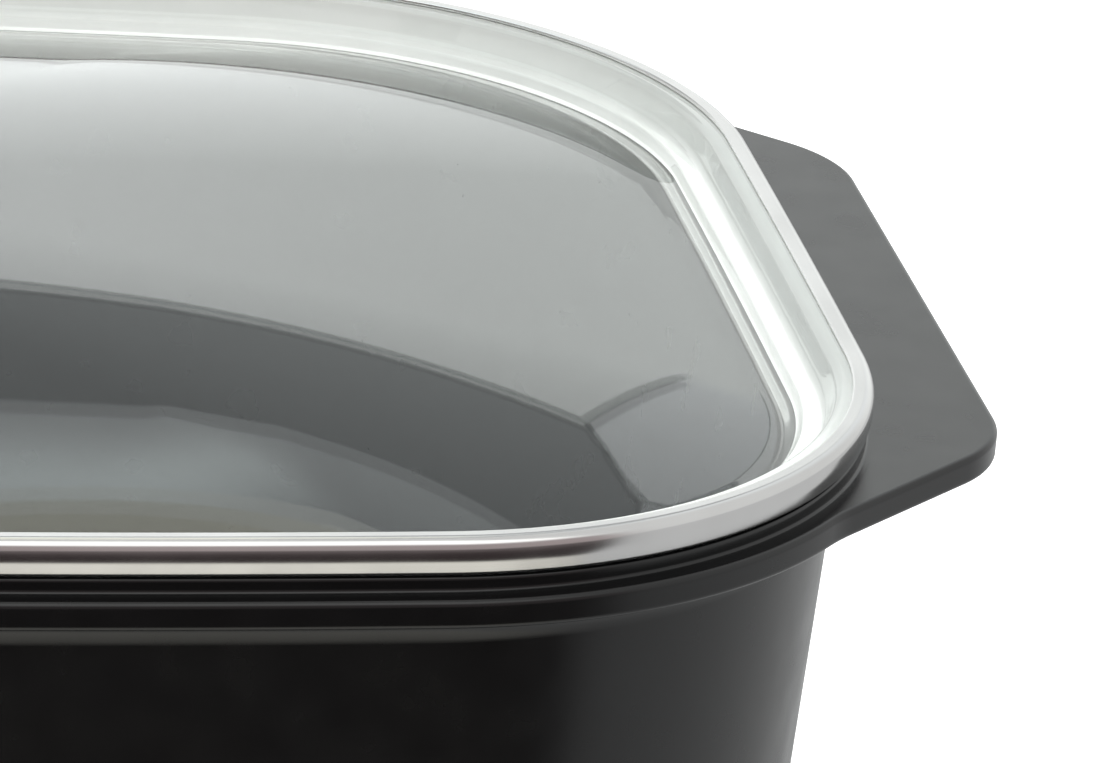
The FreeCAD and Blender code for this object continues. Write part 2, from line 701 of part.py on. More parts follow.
def heating_plate():
    """Cast tray that the pot stands in, with posts for the screws underneath."""
    plate = prism(outline(plate_offset, z_plate), z_rim - z_plate)
    plate = plate.fuse(prism(outline(housing_top_offset, z_lip), PLATE_LIP)).removeSplitter()
    plate = plate.makeFillet(PLATE_LIP_ROUND, level_edges(plate, z_rim))
    well = prism(outline(tray_offset, z_tray), TRAY_DEPTH + PLATE_LIP)
    plate = plate.cut(well.makeFillet(TRAY_ROUND, level_edges(well, z_tray)))
    plate = plate.makeFillet(PLATE_LIP_ROUND, level_edges(plate, z_rim, tray_offset - 0.5, tray_offset + 0.5))
    for place in tie_places:
        plate = plate.fuse(rod(TIE_POST_RADIUS, Vec(place.x, place.y, z_post), UP, TIE_POST_HEIGHT))
        thread = TIE_RADIUS + TIE_THREAD_SLACK
        plate = plate.cut(rod(thread, Vec(place.x, place.y, z_post), UP, TIE_BITE + 0.5))
    for place in shield_places:
        plate = plate.fuse(rod(SHIELD_POST_RADIUS, Vec(place.x, place.y, z_shield), UP, SHIELD_DEPTH))
        hole = SMALL_SCREW_RADIUS + SMALL_SCREW_SLACK
        plate = plate.cut(rod(hole, Vec(place.x, place.y, z_shield), UP, SMALL_SCREW_BITE + 0.5))
    for place in clamp_screw_places():
        hole = SMALL_SCREW_RADIUS + SMALL_SCREW_SLACK
        plate = plate.cut(rod(hole, Vec(place.x, place.y, z_plate), UP, SMALL_SCREW_BITE + 0.5))
    return plate


def rim_gasket():
    """Heat-resisting strip between the hot tray and the housing."""
    ring = prism(outline(housing_top_offset - GASKET_INSET, z_housing_top), GASKET_THICKNESS)
    return ring.cut(prism(outline(housing_top_offset - HOUSING_WALL, z_housing_top - 1), GASKET_THICKNESS + 2))


def heating_element():
    """Tubular element: one loop under the tray with two legs out to the back."""
    loop = quarter_outline(-element_inset)
    bend = ELEMENT_LEG_BEND
    edges = []
    for side in (1, -1):
        turn_x = ELEMENT_LEG_X + bend
        height = math.sqrt((LONG_SIDE_RADIUS - element_inset) ** 2 - turn_x ** 2) + long_centre.y
        lift = Vec(0, 0, z_element)
        start = Vec(side * turn_x, height, 0)
        radial = Vec(start - long_centre).normalize()
        centre = start + radial * bend
        leg = centre - Vec(side * bend, 0, 0)
        end = Vec(leg.x, y_leg_end, 0)
        pieces = [(end, leg), (leg, arc_middle(centre, leg, start), start)]
        mirrored = [tuple(Vec(side * p.x, p.y, 0) for p in arc) for arc in loop]
        long_arc = mirrored[2]
        pieces.append((start, arc_middle(long_centre, start, long_arc[0]), long_arc[0]))
        pieces.append(tuple(reversed(mirrored[1])))
        pieces.append(tuple(reversed(mirrored[0])))
        pieces += [tuple(Vec(p.x, -p.y, 0) for p in arc) for arc in mirrored]
        if side < 0:
            pieces = [tuple(reversed(piece)) for piece in reversed(pieces)]
        edges += [edge_through([p + lift for p in piece]) for piece in pieces]
    return tube(ELEMENT_RADIUS, Part.Wire(edges), FRONT)


def element_leg_places():
    """Where the two legs of the element end."""
    return [Vec(side * leg_x(), y_leg_end, z_element) for side in (1, -1)]


def leg_x():
    """Sideways place of an element leg, after its bend out of the bowed loop."""
    turn_x = ELEMENT_LEG_X + ELEMENT_LEG_BEND
    tilt = turn_x / (LONG_SIDE_RADIUS - element_inset)
    return turn_x + ELEMENT_LEG_BEND * tilt - ELEMENT_LEG_BEND


def element_insulators():
    """Ceramic beads that close the ends of the element."""
    beads = []
    for place in element_leg_places():
        bead = rod(ELEMENT_RADIUS, place, BACK, INSULATOR_LENGTH)
        beads.append(bead.cut(rod(PIN_RADIUS + PIN_SLACK, place - BACK, BACK, INSULATOR_LENGTH + 2)))
    return Part.makeCompound(beads)


def element_pins():
    """Terminal pins of the element."""
    return Part.makeCompound([rod(PIN_RADIUS, p, BACK, INSULATOR_LENGTH + PIN_LENGTH) for p in element_leg_places()])


def clamp_height(place):
    """Centre of the element under a clamp, on the bowed long side of the loop."""
    radius = LONG_SIDE_RADIUS - element_inset
    side = math.copysign(1, place.y)
    return Vec(place.x, side * (math.sqrt(radius ** 2 - place.x ** 2) + long_centre.y), place.z)


def clamp_turn(place):
    """Angle of the bowed element under a clamp."""
    side = math.copysign(1, place.y)
    return -side * math.degrees(math.asin(place.x / (LONG_SIDE_RADIUS - element_inset)))


def clamp_foot_reach():
    """Distance from the element to a clamp screw."""
    return clamp_reach - CLAMP_FOOT / 2


def clamp_screw_places():
    """Two screws to each clamp."""
    places = []
    for place in clamp_places:
        centre = clamp_height(place)
        turn = math.radians(clamp_turn(place))
        for side in (1, -1):
            reach = side * clamp_foot_reach()
            places.append(centre + Vec(-reach * math.sin(turn), reach * math.cos(turn), 0))
    return places


def element_clamps():
    """Saddles that press the element against the tray."""
    clamps = []
    bore = ELEMENT_RADIUS + CLAMP_SLACK
    drop = z_plate - z_element
    half = CLAMP_LENGTH / 2
    reach = clamp_reach
    for place in clamp_places:
        saddle = rod(bore + CLAMP_SHEET, Vec(-half, 0, 0), Vec(1, 0, 0), CLAMP_LENGTH)
        saddle = saddle.fuse(block(-half, half, -bore - CLAMP_SHEET, bore + CLAMP_SHEET, 0, drop))
        saddle = saddle.fuse(block(-half, half, -reach, reach, drop - CLAMP_SHEET, drop))
        saddle = saddle.cut(rod(bore, Vec(-half - 1, 0, 0), Vec(1, 0, 0), CLAMP_LENGTH + 2))
        saddle = saddle.cut(block(-half - 1, half + 1, -bore, bore, 0, reach))
        saddle = saddle.cut(block(-half - 1, half + 1, -reach, reach, drop, reach + drop))
        for side in (1, -1):
            hole = SMALL_SCREW_RADIUS + SMALL_SCREW_SLACK
            saddle = saddle.cut(rod(hole, Vec(0, side * clamp_foot_reach(), 0), UP, reach))
        turn = FreeCAD.Rotation(UP, clamp_turn(place))
        saddle.Placement = FreeCAD.Placement(clamp_height(place), turn)
        clamps.append(saddle)
    return Part.makeCompound(clamps)


def clamp_screws():
    """Screws of the element clamps."""
    return Part.makeCompound([
        screw(
            SMALL_SCREW_RADIUS, SMALL_SCREW_HEAD, SMALL_SCREW_HEAD_HEIGHT,
            Vec(p.x, p.y, z_plate - CLAMP_SHEET), UP, CLAMP_SHEET + SMALL_SCREW_BITE,
        )
        for p in clamp_screw_places()
    ])


def heat_shield():
    """Sheet pan under the element that throws its heat up."""
    z_floor = z_shield - SHIELD_SHEET
    height = z_plate - SHIELD_EDGE_GAP - z_floor
    pan = prism(outline(-SHIELD_INSET, z_floor), height)
    pan = pan.cut(prism(outline(-SHIELD_INSET - SHIELD_SHEET, z_shield), height))
    slot = ELEMENT_RADIUS + SHIELD_SLOT_GAP
    for place in element_leg_places():
        pan = pan.cut(block(
            place.x - slot, place.x + slot, half_depth - SHIELD_INSET - 4 * SHIELD_SHEET, half_depth,
            z_element - slot, z_plate,
        ))
    for place in shield_places:
        hole = SMALL_SCREW_RADIUS + SMALL_SCREW_SLACK
        pan = pan.cut(rod(hole, Vec(place.x, place.y, z_floor - 1), UP, SHIELD_SHEET + 2))
    return pan


def shield_screws():
    """Screws that hang the shield on the tray's posts."""
    return Part.makeCompound([
        screw(
            SMALL_SCREW_RADIUS, SMALL_SCREW_HEAD, SMALL_SCREW_HEAD_HEIGHT,
            Vec(p.x, p.y, z_shield - SHIELD_SHEET), UP, SHIELD_SHEET + SMALL_SCREW_BITE,
        )
        for p in shield_places
    ])


def thermostat_body():
    """Adjustable thermostat with a bushing that passes through the panel."""
    body = panel_prism(
        THERMOSTAT_WIDTH, THERMOSTAT_HEIGHT, THERMOSTAT_EDGE_ROUND,
        z_control, y_thermostat + THERMOSTAT_DEPTH, y_thermostat,
    )
    reach = HOUSING_WALL + NUT_HEIGHT + DIAL_PLATE_SHEET
    body = body.fuse(rod(BUSHING_RADIUS, Vec(0, y_thermostat + 1, z_control), FRONT, reach + 1))
    bore = SHAFT_RADIUS + SHAFT_SLACK
    deep = SHAFT_INSIDE + SHAFT_SLACK
    return body.cut(rod(bore, Vec(0, y_thermostat + deep, z_control), FRONT, reach + deep + 1))


def thermostat_nut():
    """Nut that clamps the thermostat and dial plate to the panel."""
    bore = BUSHING_RADIUS + SHAFT_SLACK
    return hex_nut(NUT_WIDTH, Vec(0, y_dial_plate, z_control), FRONT, NUT_HEIGHT, bore)


def dial_plate():
    """Thin trim plate on the flat of the control panel."""
    gap = 2 * DIAL_PLATE_EDGE_GAP
    plate = panel_prism(
        PANEL_WIDTH - gap, PANEL_HEIGHT - gap, PANEL_CORNER - DIAL_PLATE_EDGE_GAP,
        z_control, y_panel, y_dial_plate,
    )
    return plate.cut(rod(BUSHING_RADIUS + BUSHING_SLACK, Vec(0, y_panel + 1, z_control), FRONT, DIAL_PLATE_SHEET + 2))


def control_shaft():
    """Thermostat shaft with a flat for the dial."""
    start = y_thermostat + SHAFT_INSIDE
    end = y_dial_front + DIAL_CAP + DIAL_BORE_SLACK
    shaft = rod(SHAFT_RADIUS, Vec(0, start, z_control), FRONT, start - end)
    flat_end = y_dial_plate - NUT_HEIGHT - DIAL_RUNNING_GAP
    flat = block(-SHAFT_RADIUS, SHAFT_RADIUS, end - 1, flat_end, z_control + SHAFT_FLAT, z_control + 2 * SHAFT_RADIUS)
    return shaft.cut(flat)


def control_knob():
    """Dial: a skirt with a raised grip bar, hollow behind, with a hub on the shaft."""
    skirt = turned([
        (0, 0, 0),
        (DIAL_RADIUS, 0, 0.4),
        (DIAL_RADIUS, DIAL_SKIRT, 0.8),
        (DIAL_RADIUS * 0.72, DIAL_SKIRT * 1.5, 6.0),
        (0, DIAL_SKIRT * 1.5, 0),
    ], Vec(0, y_dial_back, z_control), FRONT)
    grip = panel_prism(
        DIAL_GRIP_WIDTH, DIAL_GRIP_LENGTH, DIAL_GRIP_WIDTH * 0.45,
        z_control, y_dial_back - DIAL_SKIRT * 0.5, y_dial_front,
    )
    face_edges = [e for e in grip.Edges if abs(e.BoundBox.YMin - y_dial_front) < 1e-4
                  and abs(e.BoundBox.YMax - y_dial_front) < 1e-4]
    knob = skirt.fuse(grip.makeFillet(DIAL_GRIP_ROUND, face_edges)).removeSplitter()
    well = rod(DIAL_WELL_RADIUS, Vec(0, y_dial_back + 1, z_control), FRONT, 1 + NUT_HEIGHT + DIAL_RUNNING_GAP)
    knob = knob.cut(well)
    bore = SHAFT_RADIUS + DIAL_BORE_SLACK
    y_bore_end = y_dial_front + DIAL_CAP
    hole = rod(bore, Vec(0, y_dial_back + 1, z_control), FRONT, y_dial_back + 1 - y_bore_end)
    z_flat = z_control + SHAFT_FLAT + DIAL_BORE_SLACK
    hole = hole.cut(block(-DIAL_RADIUS, DIAL_RADIUS, y_dial_front, y_dial_back + 2, z_flat, z_flat + DIAL_RADIUS))
    return knob.cut(hole).cut(pointer_bar(POINTER_SLACK))


def pointer_bar(slack):
    """Bar let into the grip, from near its middle to near its upper end."""
    width = POINTER_WIDTH / 2 + slack
    z_top = z_control + DIAL_GRIP_LENGTH / 2 - DIAL_GRIP_ROUND
    return block(
        -width, width, y_dial_front - slack, y_dial_front + POINTER_DEPTH + slack,
        z_top - POINTER_LENGTH - slack, z_top + slack,
    )


def dial_pointer():
    """Pale pointer inlay of the dial."""
    return pointer_bar(0)


def sensor_strap():
    """Strap that carries the tray's heat to the thermostat."""
    w = STRAP_WIDTH / 2
    z_seat = z_control + THERMOSTAT_HEIGHT / 2
    y_back = y_thermostat + THERMOSTAT_DEPTH
    y_web = y_back - STRAP_TOE
    toe = block(-w, w, y_web, y_back, z_seat, z_seat + STRAP_SHEET)
    web = block(-w, w, y_web, y_web + STRAP_SHEET, z_seat, z_plate)
    foot = block(-w, w, y_web, y_web + STRAP_FOOT, z_plate - STRAP_SHEET, z_plate)
    return toe.fuse(web).fuse(foot).removeSplitter()


def fuse_centre():
    """Middle of the thermal fuse, in its clip under the shield."""
    drop = FUSE_CLIP_WALL + FUSE_CLIP_SLACK + FUSE_RADIUS
    return Vec(FUSE_X, FUSE_Y, z_shield - SHIELD_SHEET - drop)


def thermal_fuse():
    """One-shot fuse."""
    return rod(FUSE_RADIUS, fuse_centre() - BACK * (FUSE_LENGTH / 2), BACK, FUSE_LENGTH)


def fuse_clip():
    """Clip that holds the fuse to the shield."""
    centre = fuse_centre()
    wall = FUSE_RADIUS + FUSE_CLIP_SLACK + FUSE_CLIP_WALL
    half = FUSE_CLIP_LENGTH / 2
    clip = block(
        centre.x - wall, centre.x + wall, centre.y - half, centre.y + half, centre.z - wall, centre.z + wall
    )
    return clip.cut(rod(FUSE_RADIUS + FUSE_CLIP_SLACK, centre - BACK * (half + 1), BACK, FUSE_CLIP_LENGTH + 2))


def block_y():
    """Back face of the terminal block, clear of the gland's nut."""
    return y_gland_inside - GLAND_NUT_HEIGHT - BLOCK_DEPTH


def terminal_block():
    """Ceramic block where the supply leads join the wiring."""
    y1 = block_y()
    w = BLOCK_LENGTH / 2
    corners = [
        (GLAND_X - w, z_cover_top, 0),
        (GLAND_X + w, z_cover_top, 0),
        (GLAND_X + w, z_cover_top + BLOCK_HEIGHT, BLOCK_ROUND),
        (GLAND_X - w, z_cover_top + BLOCK_HEIGHT, BLOCK_ROUND),
    ]
    wire = rounded_wire(corners, lambda x, z: Vec(x, y1, z))
    return Part.Face(wire).extrude(Vec(0, -BLOCK_DEPTH, 0))


def supply_wire():
    """Lead from the terminal block to the thermostat."""
    start = Vec(GLAND_X + BLOCK_LENGTH / 4, block_y() - BLOCK_DEPTH - WIRE_END_GAP, z_cover_top + BLOCK_HEIGHT / 2)
    end = Vec(THERMOSTAT_WIDTH / 4, y_thermostat + THERMOSTAT_DEPTH + WIRE_END_GAP, z_control)
    reach = end.y - start.y
    points = [
        start,
        start + Vec(0, -WIRE_RUN, 0),
        start + Vec(-6, reach * 0.40, 2),
        end + Vec(30, -reach * 0.30, -3),
        end + Vec(0, WIRE_RUN, 0),
        end,
    ]
    return tube(WIRE_RADIUS, route(points), FRONT)


def fuse_wire():
    """Lead from the thermostat to the fuse."""
    start = fuse_centre() + Vec(0, -FUSE_LENGTH / 2 - WIRE_END_GAP, 0)
    end = Vec(-THERMOSTAT_WIDTH / 4, y_thermostat + THERMOSTAT_DEPTH + WIRE_END_GAP, z_control)
    points = [start, start + Vec(0, -WIRE_RUN, 0), end + Vec(0, WIRE_RUN, 0), end]
    return tube(WIRE_RADIUS, route(points), FRONT)


def element_wire():
    """Lead from the fuse to one leg of the element."""
    start = fuse_centre() + Vec(0, FUSE_LENGTH / 2 + WIRE_END_GAP, 0)
    pin = Vec(-leg_x(), y_leg_end + INSULATOR_LENGTH + PIN_LENGTH * 0.6, z_element - PIN_RADIUS - WIRE_END_GAP)
    below = Vec(pin.x, pin.y, start.z - WIRE_RADIUS)
    points = [start, start + Vec(0, WIRE_RUN, 0), below + Vec(0, -WIRE_RUN, 0), below, pin]
    return tube(WIRE_RADIUS, route(points), BACK)


def return_wire():
    """Lead from the other leg of the element back to the terminal block."""
    pin = Vec(leg_x(), y_leg_end + INSULATOR_LENGTH + PIN_LENGTH * 0.6, z_element - PIN_RADIUS - WIRE_END_GAP)
    end = Vec(GLAND_X - BLOCK_LENGTH / 4, block_y() - BLOCK_DEPTH - WIRE_END_GAP, z_cover_top + BLOCK_HEIGHT / 2)
    points = [
        pin,
        Vec(pin.x, pin.y, z_shield - WIRE_RUN),
        Vec(pin.x + WIRE_RUN / 2, end.y - WIRE_RUN * 1.4, end.z + WIRE_RUN / 4),
        end + Vec(0, -WIRE_RUN, 0),
        end,
    ]
    return tube(WIRE_RADIUS, route(points), -UP)


def bottom_cover():
    """Sheet cover with vent slots, foot holes and screw holes."""
    cover = prism(outline(cover_offset, z_cover), COVER_SHEET)
    half = VENT_LENGTH / 2
    w = VENT_WIDTH / 2
    for row in (1, -1):
        for i in range(VENT_COUNT):
            x = (i - (VENT_COUNT - 1) / 2) * VENT_PITCH
            y = row * VENT_ROW_Y
            corners = [(x - w, y - half, w * 0.98), (x + w, y - half, w * 0.98),
                       (x + w, y + half, w * 0.98), (x - w, y + half, w * 0.98)]
            slot = rounded_wire(corners, lambda u, v: Vec(u, v, z_cover - 1))
            cover = cover.cut(prism(slot, COVER_SHEET + 2))
    for place in foot_places:
        cover = cover.cut(rod(FOOT_STEM_RADIUS + FOOT_STEM_SLACK, Vec(place.x, place.y, z_cover - 1), UP, COVER_SHEET + 2))
    for place in tie_places:
        cover = cover.cut(rod(TIE_RADIUS + TIE_SLACK, Vec(place.x, place.y, z_cover - 1), UP, COVER_SHEET + 2))
    return cover


def tie_screws():
    """Long screws from under the cover into the tray's posts."""
    reach = z_post + TIE_BITE - z_cover
    return Part.makeCompound([
        screw(TIE_RADIUS, TIE_HEAD_RADIUS, TIE_HEAD_HEIGHT, Vec(p.x, p.y, z_cover), UP, reach) for p in tie_places
    ])


def foot(place):
    """Rubber foot with a stem and a head that snaps through the cover."""
    top = z_cover_top
    return turned([
        (0, 0, 0),
        (FOOT_RADIUS * 0.86, 0, 0.8),
        (FOOT_RADIUS, z_cover, 0),
        (FOOT_STEM_RADIUS, z_cover, 0),
        (FOOT_STEM_RADIUS, top, 0),
        (FOOT_HEAD_RADIUS, top, 0),
        (FOOT_STEM_RADIUS, top + FOOT_HEAD_HEIGHT, 0),
        (0, top + FOOT_HEAD_HEIGHT, 0),
    ], place)


def cord_gland():
    """Bushing for the supply cord in the back of the housing."""
    outer = GLAND_BORE + GLAND_WALL
    length = gland_seat_depth + GLAND_NUT_HEIGHT
    return turned([
        (GLAND_BORE, -length, 0),
        (outer, -length, 0),
        (outer, 0, 0),
        (GLAND_FLANGE_RADIUS, 0, 0),
        (GLAND_FLANGE_RADIUS, GLAND_FLANGE, 0.8),
        (GLAND_BORE, GLAND_FLANGE, 0.6),
    ], Vec(GLAND_X, y_gland_seat, z_gland), BACK)


def gland_nut():
    """Nut that holds the gland inside the housing."""
    bore = GLAND_BORE + GLAND_WALL + SHAFT_SLACK
    return hex_nut(GLAND_NUT_WIDTH, Vec(GLAND_X, y_gland_inside, z_gland), FRONT, GLAND_NUT_HEIGHT, bore)


FOOT_NAMES = ("foot_back_right", "foot_back_left", "foot_front_left", "foot_front_right")

pieces = {
    "cooking_pot": cooking_pot(),
    "lid_glass": lid_glass(),
    "lid_rim_band": lid_rim_band(),
    "lid_knob": lid_knob(),
    "knob_collar": knob_collar(),
    "knob_washer": knob_washer(),
    "knob_screw": knob_screw(),
    "base_housing": base_housing(),
    "heating_plate": heating_plate(),
    "rim_gasket": rim_gasket(),
    "heating_element": heating_element(),
    "element_insulators": element_insulators(),
    "element_pins": element_pins(),
    "element_clamps": element_clamps(),
    "clamp_screws": clamp_screws(),
    "heat_shield": heat_shield(),
    "shield_screws": shield_screws(),
    "thermostat_body": thermostat_body(),
    "thermostat_nut": thermostat_nut(),
    "dial_plate": dial_plate(),
    "control_shaft": control_shaft(),
    "control_knob": control_knob(),
    "dial_pointer": dial_pointer(),
    "sensor_strap": sensor_strap(),
    "thermal_fuse": thermal_fuse(),
    "fuse_clip": fuse_clip(),
    "terminal_block": terminal_block(),
    "supply_wire": supply_wire(),
    "fuse_wire": fuse_wire(),
    "element_wire": element_wire(),
    "return_wire": return_wire(),
    "bottom_cover": bottom_cover(),
    "tie_screws": tie_screws(),
    "cord_gland": cord_gland(),
    "gland_nut": gland_nut(),
}
for name, place in zip(FOOT_NAMES, foot_places):
    pieces[name] = foot(place)

os.makedirs("parts", exist_ok=True)
for name, shape in pieces.items():
    shape.exportStep(os.path.join("parts", name + ".step"))
    print(name, len(shape.Solids), shape.isValid(), round(shape.Volume / 1000, 2), "cm3")
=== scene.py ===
import math
import bmesh
import bpy
from mathutils import Matrix, Vector


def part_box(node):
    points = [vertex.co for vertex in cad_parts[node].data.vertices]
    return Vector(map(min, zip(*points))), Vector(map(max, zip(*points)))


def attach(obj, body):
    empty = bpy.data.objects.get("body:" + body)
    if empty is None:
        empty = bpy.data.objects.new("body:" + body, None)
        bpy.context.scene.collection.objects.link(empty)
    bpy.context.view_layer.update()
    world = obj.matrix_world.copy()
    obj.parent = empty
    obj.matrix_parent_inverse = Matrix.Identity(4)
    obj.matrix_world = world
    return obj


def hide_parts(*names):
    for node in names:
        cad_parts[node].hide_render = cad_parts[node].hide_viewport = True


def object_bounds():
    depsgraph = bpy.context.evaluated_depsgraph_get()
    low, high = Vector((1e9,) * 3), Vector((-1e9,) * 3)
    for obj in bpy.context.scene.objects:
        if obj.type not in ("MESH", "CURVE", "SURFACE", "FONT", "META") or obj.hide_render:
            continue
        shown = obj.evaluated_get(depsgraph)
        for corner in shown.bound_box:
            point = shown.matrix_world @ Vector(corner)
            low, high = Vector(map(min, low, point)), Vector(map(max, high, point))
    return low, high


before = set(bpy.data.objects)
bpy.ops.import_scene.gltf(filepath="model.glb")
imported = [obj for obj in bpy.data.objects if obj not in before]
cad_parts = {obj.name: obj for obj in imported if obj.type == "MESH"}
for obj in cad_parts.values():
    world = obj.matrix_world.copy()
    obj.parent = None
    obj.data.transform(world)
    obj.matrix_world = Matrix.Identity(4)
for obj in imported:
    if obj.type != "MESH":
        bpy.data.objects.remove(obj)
cad_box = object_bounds()

# Oblong slow cooker. Lengths in the shape code are millimetres and go to metres in the meshes.
# Offsets run outward from the plan outline, and heights run up from the ground.
MM = 0.001

# Plan outline that the lid and the pot share
HALF_LENGTH = 165.0
HALF_DEPTH = 120.8
CORNER_RADIUS = 73.4
LONG_SIDE_RADIUS = 1430.0
SHORT_SIDE_RADIUS = 5000.0

# Cast pot
POT_BOTTOM = 72.2
POT_BOTTOM_FLAT = -50.0
POT_BOTTOM_ROUND = 14.0
POT_FLOOR_TOP = 76.2
POT_FLOOR_FLAT = -40.0
POT_FLOOR_ROUND = 11.0
POT_FLANGE = 184.2
POT_UNDER_FLANGE = 180.2
POT_LEDGE = 180.8
POT_LEDGE_ROUND = 0.8
POT_DRAFT = math.tan(math.radians(3.2))
POT_WALL_INSET = 4.0
POT_WALL = 3.2
POT_COVE = 4.8
POT_COVE_START = 1.0
POT_REBATE = -2.2
POT_BREAK = 0.25
POT_BEAD_TOP = 186.3
POT_BEAD_OUTSIDE = -0.7
POT_BEAD_ROUND = 0.5
POT_BEAD_FOOT = 1.2
FLANGE_OVERHANG = 2.5
FLANGE_TOP_RUN = 3.0
FLANGE_UNDER_RUN = 1.4
FLANGE_ROUND = 0.8
EAR_SPAN = 365.4
EAR_WIDTH = 118.5
EAR_CORNER = 23.5
EAR_ANGLE = 27.77
EAR_BLEND = 40.0

# Glass lid: dome
GLASS_FOOT = 181.0
GLASS_GUTTER = 184.5
DOME_OFFSET = -10.675
DOME_RISE = 13.0
DOME_FLAT = 0.19
DOME_EASE = 0.975
DOME_CROWDING = 1.35
LID_HOLE = 3.5

# Glass lid: rim, from the dome's edge up two steps and down the outer edge
RIM_START = -10.9
RIM_BREAK = -10.2
RIM_BREAK_ROUND = 0.3
RIM_STEP = 186.3
RIM_STEP_START = -9.3
RIM_STEP_ROUND = 0.8
RIM_STEP_END = -6.4
RIM_STEP_RISE = 0.3
RIM_WALL_ROUND = 1.2
RIM_WALL_TOP = -5.3
RIM_TOP = 191.0
RIM_OUTSIDE = -2.8
RIM_OUTSIDE_ROUND = 0.3
RIM_FOOT_ROUND = 2.5
RIM_FOOT_END = -9.5
RIM_END = -11.0

# Faces of the rim that get painted light: a pale matt finish on hidden faces that makes the glass rim look
# bright
PAINTED_PALE_BELOW = 184.2
PAINTED_PALE_LOW_END = -9.6
PAINTED_PALE_OUTER_END = -3.2

# Steel band: a sheet rolled round the rim
BAND_LOW = 186.8
BAND_TOP = 191.7
BAND_SHEET = 0.65
BAND_LIP = 3.1
BAND_HEM = 2.4
BAND_HEM_ROUND = 0.23
BAND_TUCK = 0.42
BAND_TUCK_ROUND = 0.3
BAND_BELLY = 189.0
BAND_BELLY_ROUND = 5.0
BAND_SHOULDER = 0.1
BAND_SHOULDER_ROUND = 1.5
BAND_INSIDE_TOP = 0.65
BAND_INSIDE_TOP_ROUND = 1.1
BAND_INSIDE_LOW = 0.8
BAND_INSIDE_LOW_ROUND = 0.5
BAND_INNER = 0.5
BAND_INNER_END = 3.0

# Dial scale
DIGITS = 6
DIGIT_SIZE = 5.2
DIGIT_STEPS = 6
DIAL_SWEEP = math.radians(270.0)
SCALE_RADIUS = 20.6
PRINT_HEIGHT = 0.06
BAR_LENGTH = 2.6
BAR_WIDTH = 0.7
BAR_STEPS = 8

# Points round a quarter of the outline: end, ear (round, side, hollow), corner, long side
END_STEPS = 24
EAR_STEPS = (14, 6, 20)
CORNER_STEPS = 30
LONG_STEPS = 36

# Points across a section, over the dome, in to its hole, and in to the middle of a flat floor
BEND_STEPS = 7
SHORT_RUN = 0.9
RUN_END = 0.15
RUN_END_SHARE = 0.2
DOME_STEPS = 36
HOLE_SHARES = (0.35, 0.7, 0.93, 1.0)
FLOOR_SCALES = (0.03, 0.2, 0.5, 0.8)

# Noise is used between these values, where most of it lies
NOISE_LOW = 0.3
NOISE_HIGH = 0.7

# Ground
GROUND_HALF = 40.0
GROUND_TONE = (0.8, 0.8, 0.8, 1)
GROUND_GLOW = 0.7

# Room in the reflections. Directions are degrees: azimuth from straight behind to the right, and height.
BACK_WALL = (1.42, 1.46, 1.45)
BACK_WALL_RIGHT = (1.2, 1.24, 1.22)
BACK_WALL_FADE = (6.0, 17.0)
RIGHT_WALL = (1.08, 1.12, 1.13)
SIDE_WALL = (0.92, 0.93, 0.92)
SIDE_WALL_FADE = (24.0, 50.0)
WALL_FOOT = (0.72, 0.73, 0.73)
WALL_FOOT_FADE = (-4.0, 2.0)

# The upright corner between the back wall and the right wall
CORNER_AZIMUTH = 17.6
CORNER_TOP = 24.6
CORNER_LEAN = 0.02
CORNER_SHOWN = (15.8, 17.4)
CORNER_SOFT = (-0.06, 0.06)
CORNER_LINE = (0.06, 0.14)

# The ceiling and its edge along the walls
CEILING = (0.50, 0.52, 0.525)
CEILING_EDGE = 23.9
CEILING_SOFT = (-0.1, 0.1)
CEILING_LINE = (0.12, 0.35)
SAG_MIDDLE = 13.4
SAG_REACH = 5.5
SAG = 0.085
CLIMB = 2.6
JOINT = (0.2, 0.21, 0.21)
JOINT_DEPTH = 0.7
JOINT_END = 100.0

# The lighter field in the ceiling, and the ring and the disc in it
FIELD_EDGE = (38.4, 38.8)
FIELD_FADE = (38.6, 44.0)
FIELD_NEAR = (0.95, 0.99, 1.0)
FIELD_HIGH = (1.72, 1.86, 1.86)
FIELD_RIGHT = (0.89, 0.93, 0.94)
FIELD_RIGHT_FADE = (10.5, 14.0)
FALL_START = 9.85
FALL_REACH = 3.1
FALL = 0.84
RISE_START = 14.0
RISE = 0.19
RING_MIDDLE = 10.9
RING_BOW = 0.145
RING_EDGE = (44.05, 44.2)
RING_TONE = (1.56, 1.62, 1.55)
DISC_EDGE = (44.85, 45.0)
DISC_TONE = (1.32, 1.32, 1.16)

# The front of the room
FRONT_START = (123.0, 130.0)
TABLE = (1.2, 1.18, 1.08)
TABLE_EDGE = (-42.0, -36.0)
FRONT_DARK = (0.05, 0.04, 0.04)
FRONT_DARK_EDGE = (-16.0, -4.0)
FRONT_WALL = (0.5, 0.43, 0.43)
FRONT_WALL_EDGE = (26.0, 50.0)
FRONT_CEILING = (1.95, 1.95, 1.93)

# Light on matt surfaces, and what the camera sees behind the object
FILL_TONE = (0.62, 0.63, 0.64)
WHITE = (1.0, 1.0, 1.0)

# Lamps: name, power, size and place in metres
LAMPS = (
    ("overhead", 26.0, (1.6, 1.2), (0.25, 0.2, 1.9)),
    ("front_fill", 12.0, (1.4, 1.0), (-0.4, -1.5, 1.1)),
)

# Camera: angles in radians, place in metres, focal length in pixels of a picture of the given width
CAMERA_YAW = 0.1886
CAMERA_PITCH = 0.3545
CAMERA_ROLL = 0.0859
CAMERA_PLACE = (-0.0615289, -0.9983634, 0.54543)
FOCAL_PIXELS = 7547.55
PICTURE_WIDTH = 1093.0
SENSOR_WIDTH = 36.0
CLIP_END = 200.0


